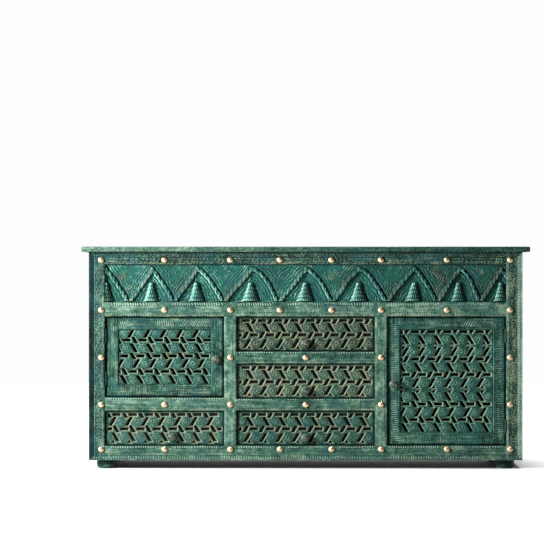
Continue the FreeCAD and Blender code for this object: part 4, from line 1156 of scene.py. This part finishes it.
def door_member_carving(x, z, outer, inner, pattern):
    """A door's frame member: rounded edges, a line cut round the panel, and cuts along its middle.

    outer and inner are the door's outer and inner outlines. feather is slanted strokes that turn over
    at the middle of the rail, comb is short level gouges, and the others are faint upright strokes.
    """
    reach_out = depth_inside(x, z, outer)
    reach_in = distance_outside(x, z, inner)
    plain = rounding(reach_out, DOOR_EDGE_WIDTH, DOOR_EDGE_DEPTH)
    plain = plain + rounding(reach_in, DOOR_EDGE_WIDTH, DOOR_EDGE_DEPTH)
    line = -DOOR_LINE_DEPTH * bell(reach_in, DOOR_LINE_PLACE, DOOR_LINE_WIDTH)
    across = reach_in / DOOR_MEMBER
    band = smooth(*DOOR_BAND_START, across) * (1 - smooth(*DOOR_BAND_END, across))
    hand = uneven(x, z, "door_cuts")
    if pattern == "feather":
        lean = np.clip((x - (inner[0] + inner[1]) / 2) / FEATHER_TURN, -1, 1)
        cut = wave((x - 0.6 * lean * (z - outer[3])) / FEATHER_PITCH + 1.2 * hand)
    elif pattern == "comb":
        cut = wave(z / COMB_PITCH + 1.0 * hand)
    else:
        cut = 0.4 * wave(x / STROKE_PITCH + 1.2 * hand)
    strength = 0.5 + 0.5 * smooth(0.2, 0.7, uneven(x, z, "door_strength"))
    waviness = FACE_WAVINESS * (uneven(x, z, "door_face") - 0.5)
    detail = line - DOOR_CUT_DEPTH * band * cut * strength + waviness
    side = np.where(x < inner[0], 0.15 * band, np.where(x > inner[1], -0.07, 0))
    # Painted shade along the door's outer edge, in the gap round it
    tone = side * (pattern == "comb") + 0.05 * band - 0.7 * bell(reach_out, 0, DOOR_PAINTED_SHADE_WIDTH)
    wear = 0.20 + 0.05 * band + np.where((pattern == "strokes") & (x < 0), 0.22 * hand, 0)
    return plain + detail, detail + 0.25 * plain, tone, wear


def door_stile_carving(x, z, outer, inner, pattern):
    """A door's stile, with room for the hinge barrels beside its edge."""
    height, *paint = door_member_carving(x, z, outer, inner, pattern)
    return notched(x, z, height, *DOOR_NOTCH), *paint


# Pierced panels

def signed_area(corners):
    """Area of an outline of corners by cross products, positive where it runs anticlockwise."""
    after = np.roll(corners, -1, axis=0)
    return np.sum(corners[:, 0] * after[:, 1] - after[:, 0] * corners[:, 1]) / 2


def anticlockwise(corners):
    """The same corners, turned round where they run clockwise."""
    return corners if signed_area(corners) > 0 else corners[::-1]


def polygon(x, z, along, across):
    """A parallelogram about (x, z) with half sides along and across."""
    signs = np.array([(1, 1), (-1, 1), (-1, -1), (1, -1)])
    return anticlockwise(np.array([x, z]) + signs[:, :1] * np.array(along) + signs[:, 1:] * np.array(across))


def triangle(x, base_z, up, size):
    """A small triangle on a level base, with its tip above or below it."""
    half = size * POINT_WIDTH / 2
    tip_z = base_z + up * size * POINT_HEIGHT
    return anticlockwise(np.array([(x, tip_z), (x - half, base_z), (x + half, base_z)]))


def lattice(field, start_z, bands):
    """Slots, as corner arrays, and rosette centres of a lattice over its field."""
    middle = (field[0] + field[1]) / 2
    copies = math.ceil((field[1] - field[0]) / JALI_PITCH / 2) + 1
    slant = np.array([math.cos(JALI_SLANT), math.sin(JALI_SLANT)])
    wide = (SLOT_WIDTH / slant[1] / 2, 0)
    slots, rosettes = [], []
    z = start_z
    for kind, drop, mark_share, slot_share, lean in bands:
        z -= drop * JALI_PITCH
        for copy in range(-copies, copies + 1):
            mark_x = middle + (copy + mark_share) * JALI_PITCH
            slot_x = middle + (copy + slot_share) * JALI_PITCH
            if kind == "dashes":
                slots.append(polygon(mark_x, z, (DASH_LENGTH / 2, 0), (0, SLOT_WIDTH / 2)))
                if lean:
                    slots.append(polygon(slot_x, z, slant * (lean, 1) * BETWEEN_SLOT_LENGTH / 2, wide))
            elif kind == "rosettes":
                slots.append(polygon(slot_x, z, slant * (lean, 1) * ROW_SLOT_LENGTH / 2, wide))
                rosettes.append((mark_x, z, lean))
            elif kind == "tips":
                slots.append(triangle(slot_x, z, lean, mark_share))
            else:
                half = POINT_SPACING / 2
                slots.extend(triangle(slot_x, z + side * half, side, mark_share) for side in (1, -1))
    return slots, rosettes


def area_within(corners, field):
    """Area of the part of a convex outline that lies in the field, whose walls cut it one by one."""
    for axis, wall, sign in ((0, field[0], 1), (0, field[1], -1), (1, field[2], 1), (1, field[3], -1)):
        kept = []
        for here, after in zip(corners, np.roll(corners, -1, axis=0)):
            depth = sign * (here[axis] - wall)
            next_depth = sign * (after[axis] - wall)
            if depth >= 0:
                kept.append(here)
            if depth * next_depth < 0:
                kept.append(here + (after - here) * depth / (depth - next_depth))
        if len(kept) < 3:
            return 0.0
        corners = np.array(kept)
    return abs(signed_area(corners))


def window(x, z, low, high):
    """The rows and columns of a grid between two corners, or None where there are none."""
    columns = np.flatnonzero((x[0] > low[0]) & (x[0] < high[0]))
    rows = np.flatnonzero((z[:, 0] > low[1]) & (z[:, 0] < high[1]))
    if not len(columns) or not len(rows):
        return None
    return slice(rows[0], rows[-1] + 1), slice(columns[0], columns[-1] + 1)


def slot_distance(x, z, slots, field):
    """Signed distance to the nearest slot, negative inside it, and the direction away from it.

    A slot is convex, so its distance is the greatest of the distances to its sides and the field's.
    Slots of which the field leaves too little are dropped, as in the construction model.
    """
    distance = np.full(x.shape, SLOT_REACH)
    away = np.zeros(x.shape + (2,))
    walls = [(-1, 0, -field[0]), (1, 0, field[1]), (0, -1, -field[2]), (0, 1, field[3])]
    for corners in slots:
        near = window(x, z, corners.min(axis=0) - SLOT_REACH, corners.max(axis=0) + SLOT_REACH)
        if near is None or area_within(corners, field) <= LEAST_SLOT:
            continue
        sides = np.roll(corners, -1, axis=0) - corners
        normals = np.stack([sides[:, 1], -sides[:, 0]], axis=1) / np.linalg.norm(sides, axis=1)[:, None]
        planes = [(*n, n @ c) for n, c in zip(normals, corners)] + walls
        values = np.stack([a * x[near] + b * z[near] - c for a, b, c in planes])
        value = values.max(axis=0)
        closer = value < distance[near]
        distance[near] = np.where(closer, value, distance[near])
        directions = np.array([plane[:2] for plane in planes])[values.argmax(axis=0)]
        away[near] = np.where(closer[..., None], directions, away[near])
    return distance, away


def rosette_carving(x, z, rosettes, clear):
    """Rosettes: a low dome with a drilled centre, a ring cut that winds a little, and a shallow rim.

    Returns their height, and 1 on each disc and 0 off it.
    """
    height = np.zeros(x.shape)
    discs = np.zeros(x.shape)
    for *centre, lean in rosettes:
        near = window(x, z, np.array(centre) - ROSETTE_REACH, np.array(centre) + ROSETTE_REACH)
        if near is None:
            continue
        dx = x[near] - centre[0]
        dz = z[near] - centre[1]
        radius = np.hypot(dx, dz)
        turn = lean * np.arctan2(dz, dx) / (2 * np.pi)
        disc = 1 - smooth(*ROSETTE_EDGE, radius)
        ring = bell(radius - RING_RADIUS, SPIRAL_SWAY * turn, RING_WIDTH)
        rim = bell(radius - ROSETTE_RADIUS, RIM_PLACE, RIM_WIDTH)
        drilled = 1 - smooth(*DRILL_RADII, radius)
        dome = DOME_HEIGHT * (1 - (radius / ROSETTE_RADIUS) ** 2)
        form = disc * (dome - RING_DEPTH * ring - DRILL_DEPTH * drilled) - RIM_DEPTH * rim
        height[near] = np.where(radius < ROSETTE_REACH, form, height[near])
        discs[near] = np.maximum(discs[near], disc)
    return height * clear, discs * clear


def jali_panel(body, outline, y_span, border, start_z, bands, brush, cell):
    """A pierced panel: a grid pulled onto the rims of its slots, less the cells inside them.

    Grid points within half a cell of a rim move onto it, the cells inside the slots go, and the edges
    left open are carried straight back to a flat copy of the grid.
    """
    carving = bpy.context.scene.cabinet_carving
    rim_wear, disc_lift, rim_lift, painted_shade_edge = brush
    front_y, back_y = y_span
    field = shrunk(outline, border)
    columns, rows = (round((end - start) / cell) + 1 for start, end in (outline[:2], outline[2:]))
    x, z = np.meshgrid(np.linspace(*outline[:2], columns), np.linspace(*outline[2:], rows))
    slots, rosettes = lattice(field, start_z, bands)
    distance, away = slot_distance(x, z, slots, field)

    # Relief and paint
    bevel = BEVEL_DEPTH * np.clip(1 - distance / carving.bevel, 0, 1)
    rib = RIB_HEIGHT * bell(distance - carving.bevel, RIB_PLACE, RIB_WIDTH)
    edge = depth_inside(x, z, outline)
    raised, discs = rosette_carving(x, z, rosettes, smooth(*ROSETTE_CLEARANCE, distance))
    height = raised - bevel + rib + rounding(edge, PANEL_EDGE_WIDTH, PANEL_EDGE_DEPTH)
    height = height + PANEL_WAVINESS * (uneven(x, z, "panel") - 0.5)
    on_bevel = 1 - smooth(0.6 * carving.bevel, 1.1 * carving.bevel, distance)
    ridge = np.clip(ridges(height + bevel, cell) + rim_lift * on_bevel, 0, 1)
    flat_wear = RUBS[body] * (1 - 0.3 * discs)
    wear = flat_wear + (rim_wear - flat_wear) * on_bevel
    # Rosette discs lighter, and painted shade along the panel's outer edge, in the gap round it
    shade = TONES[body] + disc_lift * (discs - 0.5) - 0.6 * bell(edge, 0, painted_shade_edge)

    # Points moved onto the rims, and the cells that stay
    on_rim = (edge > 0) & (np.abs(distance) < 0.5 * cell)
    x = x - np.where(on_rim, distance * away[..., 0], 0)
    z = z - np.where(on_rim, distance * away[..., 1], 0)
    kept = (on_rim | (distance >= 0)).ravel()
    settled = np.where(on_rim, 0, distance).ravel()
    cells = grid_cells(rows, columns)[1]
    cells = cells[kept[cells].all(axis=1) & (settled[cells].max(axis=1) > 0)]

    # Front, back, and walls from each edge that only one cell has
    used, cells = np.unique(cells, return_inverse=True)
    cells = cells.reshape(-1, 4)
    count = len(used)
    front = np.stack([x.ravel(), front_y - height.ravel(), z.ravel()], axis=-1)[used]
    back = front.copy()
    back[:, 1] = back_y
    starts = cells.ravel()
    ends = np.roll(cells, -1, axis=1).ravel()
    keys = np.minimum(starts, ends) * count + np.maximum(starts, ends)
    first, times = np.unique(keys, return_index=True, return_counts=True)[1:]
    starts = starts[first[times == 1]]
    ends = ends[first[times == 1]]
    walls = np.stack([ends, starts, starts + count, ends + count], axis=-1)
    values = {
        "ridge": np.concatenate([ridge.ravel()[used], np.full(count, PANEL_BACK_RIDGE)]),
        "tone": np.concatenate([shade.ravel()[used], np.full(count, TONES[body])]),
        "wear": np.concatenate([wear.ravel()[used], np.zeros(count)]),
    }
    return np.concatenate([front, back]), [cells, cells[:, ::-1] + count, walls], values


# Turned pieces

def knob(body, face_y):
    """A turned wooden knob: flange, waist, and a head with rings cut round its button."""
    low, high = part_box(body + "_knob")
    centre = ((low.x + high.x) / 2, face_y, (low.z + high.z) / 2)
    radii, lengths, ridge = np.array(KNOB_PROFILE).T
    profile = np.stack([radii * (high.x - low.x) / 2, -lengths * (face_y - low.y)], axis=-1)
    return turned(profile, centre, "y", KNOB_SEGMENTS, ridge, KNOB_TONE, KNOB_WEAR)


# Operators

class CABINET_OT_case(bpy.types.Operator):
    """Finishes the boards that stay as they were built: top, sides, back, inside and drawer boxes."""

    bl_idname = "cabinet.case"
    bl_label = "Case and drawer boxes"

    def execute(self, context):
        dress("painted_long_boards", "top_board")
        for side in SIDES:
            dress("painted_upright_boards", side + "_side_panel")
            dress("stained_upright_boards", side + "_partition")
            dress("stained_long_boards", side + "_shelf")
        dress("stained_back_boards", "back_panel")
        dress("stained_long_boards", "bottom_board", "door_stops")
        dress("stained_deep_boards", "foot_blocks", "drawer_runners")
        for drawer in DRAWERS:
            dress("stained_deep_boards", drawer + "_sides")
            dress("blackened_boards", drawer + "_backing")
            dress("stained_long_boards", drawer + "_back", drawer + "_bottom")
        return {"FINISHED"}


class CABINET_OT_face_frame(bpy.types.Operator):
    """Carves the posts, rails and stiles of the face."""

    bl_idname = "cabinet.face_frame"
    bl_label = "Face frame"

    def execute(self, context):
        y_span = (FRONT_Y, FRAME_BACK_Y)
        inside = (-POST_INNER, POST_INNER)
        left_span = (LEFT_CROSS_BOTTOM, LEFT_CROSS_TOP)
        left_carving = partial(cross_rail_carving, z_span=left_span)
        rails = {
            "top_rail": (inside, (FRIEZE_TOP, FACE_TOP), top_rail_carving),
            "frieze_rail": (inside, (OPENING_TOP, FRIEZE_BOTTOM), frieze_rail_carving),
            "base_rail": (inside, (FACE_BOTTOM, OPENING_BOTTOM), base_rail_carving),
            "left_cross_rail": ((-POST_INNER, -STILE_OUTER), left_span, left_carving),
        }
        for node, (x_span, z_span, carve) in rails.items():
            shape = relief_board(x_span, z_span, y_span, carve, TONES[node])
            make_piece(node, "_carved", shape, "painted_rails", "case")

        shapes = []
        for under, over in zip(CENTRE_OPENINGS, CENTRE_OPENINGS[1:]):
            span = (under[3], over[2])
            carve = partial(cross_rail_carving, z_span=span)
            tone = TONES["centre_cross_rails"]
            shapes.append(relief_board((-STILE_INNER, STILE_INNER), span, y_span, carve, tone))
        make_piece("centre_cross_rails", "_carved", joined(shapes), "painted_rails", "case")

        uprights = {
            "_post": ((POST_INNER, BODY_HALF), (FACE_BOTTOM, FACE_TOP), post_carving),
            "_stile": ((STILE_INNER, STILE_OUTER), (OPENING_BOTTOM, OPENING_TOP), stile_carving),
        }
        for side, sign in SIDES.items():
            for member, (reach, z_span, carve) in uprights.items():
                x_span = sorted(sign * x for x in reach)
                shape = relief_board(x_span, z_span, y_span, carve, TONES[side + member], True)
                make_piece(side + member, "_carved", shape, "painted_uprights", "case")
        return {"FINISHED"}


class CABINET_OT_frieze(bpy.types.Operator):
    """Carves the arcade of the frieze panel."""

    bl_idname = "cabinet.frieze"
    bl_label = "Frieze"

    def execute(self, context):
        x_span = (-POST_INNER, POST_INNER)
        z_span = (FRIEZE_BOTTOM, FRIEZE_TOP)
        y_span = front_outline("frieze_panel")[1]
        shape = relief_board(x_span, z_span, y_span, frieze_carving, TONES["frieze_panel"])
        make_piece("frieze_panel", "_carved", shape, "painted_frieze", "case")
        return {"FINISHED"}


class CABINET_OT_doors(bpy.types.Operator):
    """Carves both doors: stiles, rails and pierced panels."""

    bl_idname = "cabinet.doors"
    bl_label = "Doors"

    def execute(self, context):
        stile_patterns = {"left_door": "plain", "right_door": "comb"}
        cells = {"left_door": PANEL_CELL, "right_door": RIGHT_DOOR_CELL}
        for door in DOORS:
            outer, y_span = front_outline(door + "_stiles")
            inner = shrunk(outer, DOOR_MEMBER)
            carve = partial(door_stile_carving, outer=outer, inner=inner, pattern=stile_patterns[door])
            stiles = [
                relief_board(x_span, outer[2:], y_span, carve, TONES[door], True)
                for x_span in ((outer[0], inner[0]), (inner[1], outer[1]))
            ]
            rails = []
            for z_span, pattern in (((outer[2], inner[2]), "strokes"), ((inner[3], outer[3]), "feather")):
                carve = partial(door_member_carving, outer=outer, inner=inner, pattern=pattern)
                rails.append(relief_board(inner[:2], z_span, y_span, carve, TONES[door]))
            make_piece(door + "_stiles", "_carved", joined(stiles), "painted_door_uprights", door)
            make_piece(door + "_rails", "_carved", joined(rails), "painted_door_rails", door)
            shape = jali_panel(
                door, inner, front_outline(door + "_jali")[1], DOOR_JALI_BORDER, inner[3] - DOOR_JALI_BORDER,
                LATTICE_SHARES[door], DOOR_BRUSH, cells[door],
            )
            make_piece(door + "_jali", "_carved", shape, "painted_carving", door)
        return {"FINISHED"}


class CABINET_OT_drawers(bpy.types.Operator):
    """Carves the pierced fronts of the four drawers."""

    bl_idname = "cabinet.drawers"
    bl_label = "Drawer fronts"

    def execute(self, context):
        for drawer in DRAWERS:
            outline, y_span = front_outline(drawer + "_front")
            bands = LATTICE_SHARES["left_drawer" if drawer == "left_drawer" else "centre_drawer"]
            knob_low, knob_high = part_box(drawer + "_knob")
            start_z = (knob_low.z + knob_high.z) / 2 + sum(band[1] for band in bands[:-1]) * JALI_PITCH
            shape = jali_panel(
                drawer, outline, y_span, DRAWER_JALI_BORDER, start_z, bands, DRAWER_BRUSH, PANEL_CELL
            )
            make_piece(drawer + "_front", "_carved", shape, "painted_drawer_fronts", drawer)
        return {"FINISHED"}


class CABINET_OT_metalwork(bpy.types.Operator):
    """Turns the studs and knobs, and finishes the hinges."""

    bl_idname = "cabinet.metalwork"
    bl_label = "Studs, knobs and hinges"

    def execute(self, context):
        low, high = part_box("brass_studs")
        places = stud_places()
        radius = (high.x - low.x - np.ptp(places[:, 0])) / 2
        rise = FRONT_Y - low.y
        angles = np.linspace(0, np.pi / 2, STUD_RINGS)[1:]
        dome = [(radius * math.sin(angle), -rise * math.cos(angle)) for angle in angles]
        profile = [(0.02 * radius, -rise)] + dome + [(radius, STUD_DEPTH)]
        shapes = [turned(profile, (x, FRONT_Y, z), "y", STUD_SEGMENTS) for x, z in places]
        make_piece("brass_studs", "_domed", joined(shapes), "polished_brass", "case")

        faces = {door: door + "_stiles" for door in DOORS} | {drawer: drawer + "_front" for drawer in DRAWERS}
        for body, face in faces.items():
            make_piece(body + "_knob", "_turned", knob(body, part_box(face)[0].y), "waxed_knobs", body)
        dress("painted_hinges", "frame_hinge_leaves", "hinge_pins")
        dress("painted_hinges", *(door + "_hinge_leaves" for door in DOORS))
        return {"FINISHED"}


class CABINET_OT_feet(bpy.types.Operator):
    """Turns the four bun feet."""

    bl_idname = "cabinet.feet"
    bl_label = "Bun feet"

    def execute(self, context):
        low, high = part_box("bun_feet")
        profile = np.array(FOOT_PROFILE)[::-1] * (FOOT_RADIUS, FACE_BOTTOM)
        shapes = [
            turned(profile, (x, y, 0), "z", FOOT_SEGMENTS)
            for x in (low.x + FOOT_RADIUS, high.x - FOOT_RADIUS)
            for y in (low.y + FOOT_RADIUS, high.y - FOOT_RADIUS)
        ]
        make_piece("bun_feet", "_turned", joined(shapes), "painted_rails", "case")
        return {"FINISHED"}


class CABINET_OT_stage(bpy.types.Operator):
    """Sets the pale floor, the soft studio light and the photograph's view."""

    bl_idname = "cabinet.stage"
    bl_label = "Stage"

    def execute(self, context):
        scene = context.scene
        scene.view_settings.view_transform = "Standard"
        mesh = bpy.data.meshes.new("studio_floor")
        corners = [(x * FLOOR_REACH, y * FLOOR_REACH, 0) for x, y in ((-1, -1), (1, -1), (1, 1), (-1, 1))]
        mesh.from_pydata(corners, [], [(0, 1, 2, 3)])
        mesh.materials.append(finish("matt_studio_floor"))
        floor = placed("studio_floor", mesh)

        # Soft light all round, weaker from straight above, from the front and from behind the flag
        world = bpy.data.worlds.new("studio")
        world.use_nodes = True
        scene.world = world
        tree = world.node_tree
        tree.nodes.clear()
        direction = add(tree, "TexCoord").outputs["Generated"]
        parts = add(tree, "SeparateXYZ", {0: direction}).outputs
        facing = add(
            tree, "VectorMath", {0: direction, 1: FLAG_DIRECTION}, operation="DOT_PRODUCT"
        ).outputs["Value"]
        sky = add(tree, "MapRange", {0: parts["Z"], 1: 0.35, 2: 1.0, 3: 1.0, 4: 0.6}).outputs[0]
        flag = add(tree, "MapRange", {0: facing, 1: 0.30, 2: 0.85, 3: 1.0, 4: 0.06}).outputs[0]
        front = add(tree, "MapRange", {0: parts["Y"], 1: -0.6, 2: -0.1, 3: 0.45, 4: 1.0}).outputs[0]
        shared = add(tree, "Math", {0: flag, 1: front}, operation="MULTIPLY").outputs[0]
        strength = add(tree, "Math", {0: sky, 1: shared}, operation="MULTIPLY").outputs[0]
        background = add(tree, "Background", {"Color": linear("#FDFDFE"), "Strength": strength})
        add(tree, "OutputWorld", {"Surface": background.outputs[0]})

        key = bpy.data.lights.new("key_light", "AREA")
        key.size = KEY_SIZE
        key.energy = KEY_POWER
        placed("key_light", key, KEY_PLACE, (KEY_AIM - KEY_PLACE).to_track_quat("-Z", "Y").to_euler())
        overhead = bpy.data.lights.new("overhead_light", "SUN")
        overhead.angle = OVERHEAD_SPREAD
        overhead.energy = OVERHEAD_POWER
        placed("overhead_light", overhead, OVERHEAD_PLACE)

        camera = bpy.data.cameras.new("camera")
        camera.sensor_width = SENSOR_WIDTH
        camera.lens = SENSOR_WIDTH * VIEW_DISTANCE / VIEW_WIDTH
        camera.clip_end = VIEW_END
        view_place = (VIEW_X, FRONT_Y - VIEW_DISTANCE, VIEW_Z)
        scene.camera = placed("camera", camera, view_place, (math.pi / 2, 0, 0))
        return {"FINISHED"}


class CABINET_PT_panel(bpy.types.Panel):
    """Lists the steps and the sizes and colours they use."""

    bl_idname = "CABINET_PT_panel"
    bl_label = "Carved cabinet"
    bl_space_type = "VIEW_3D"
    bl_region_type = "UI"
    bl_category = "Cabinet"

    def draw(self, context):
        for group in (context.scene.cabinet_carving, context.scene.cabinet_paint):
            for key in group.__annotations__:
                self.layout.prop(group, key)
        for operator in OPERATORS:
            self.layout.operator(operator.bl_idname)


OPERATORS = (
    CABINET_OT_case,
    CABINET_OT_face_frame,
    CABINET_OT_frieze,
    CABINET_OT_doors,
    CABINET_OT_drawers,
    CABINET_OT_metalwork,
    CABINET_OT_feet,
    CABINET_OT_stage,
)
CLASSES = (CabinetCarving, CabinetPaint) + OPERATORS + (CABINET_PT_panel,)


def register():
    for cls in CLASSES:
        bpy.utils.register_class(cls)
    bpy.types.Scene.cabinet_carving = bpy.props.PointerProperty(type=CabinetCarving)
    bpy.types.Scene.cabinet_paint = bpy.props.PointerProperty(type=CabinetPaint)


def unregister():
    del bpy.types.Scene.cabinet_paint
    del bpy.types.Scene.cabinet_carving
    for cls in reversed(CLASSES):
        bpy.utils.unregister_class(cls)


def main():
    register()
    bpy.ops.cabinet.case()
    bpy.ops.cabinet.face_frame()
    bpy.ops.cabinet.frieze()
    bpy.ops.cabinet.doors()
    bpy.ops.cabinet.drawers()
    bpy.ops.cabinet.metalwork()
    bpy.ops.cabinet.feet()
    bpy.ops.cabinet.stage()


if __name__ == "__main__":
    main()
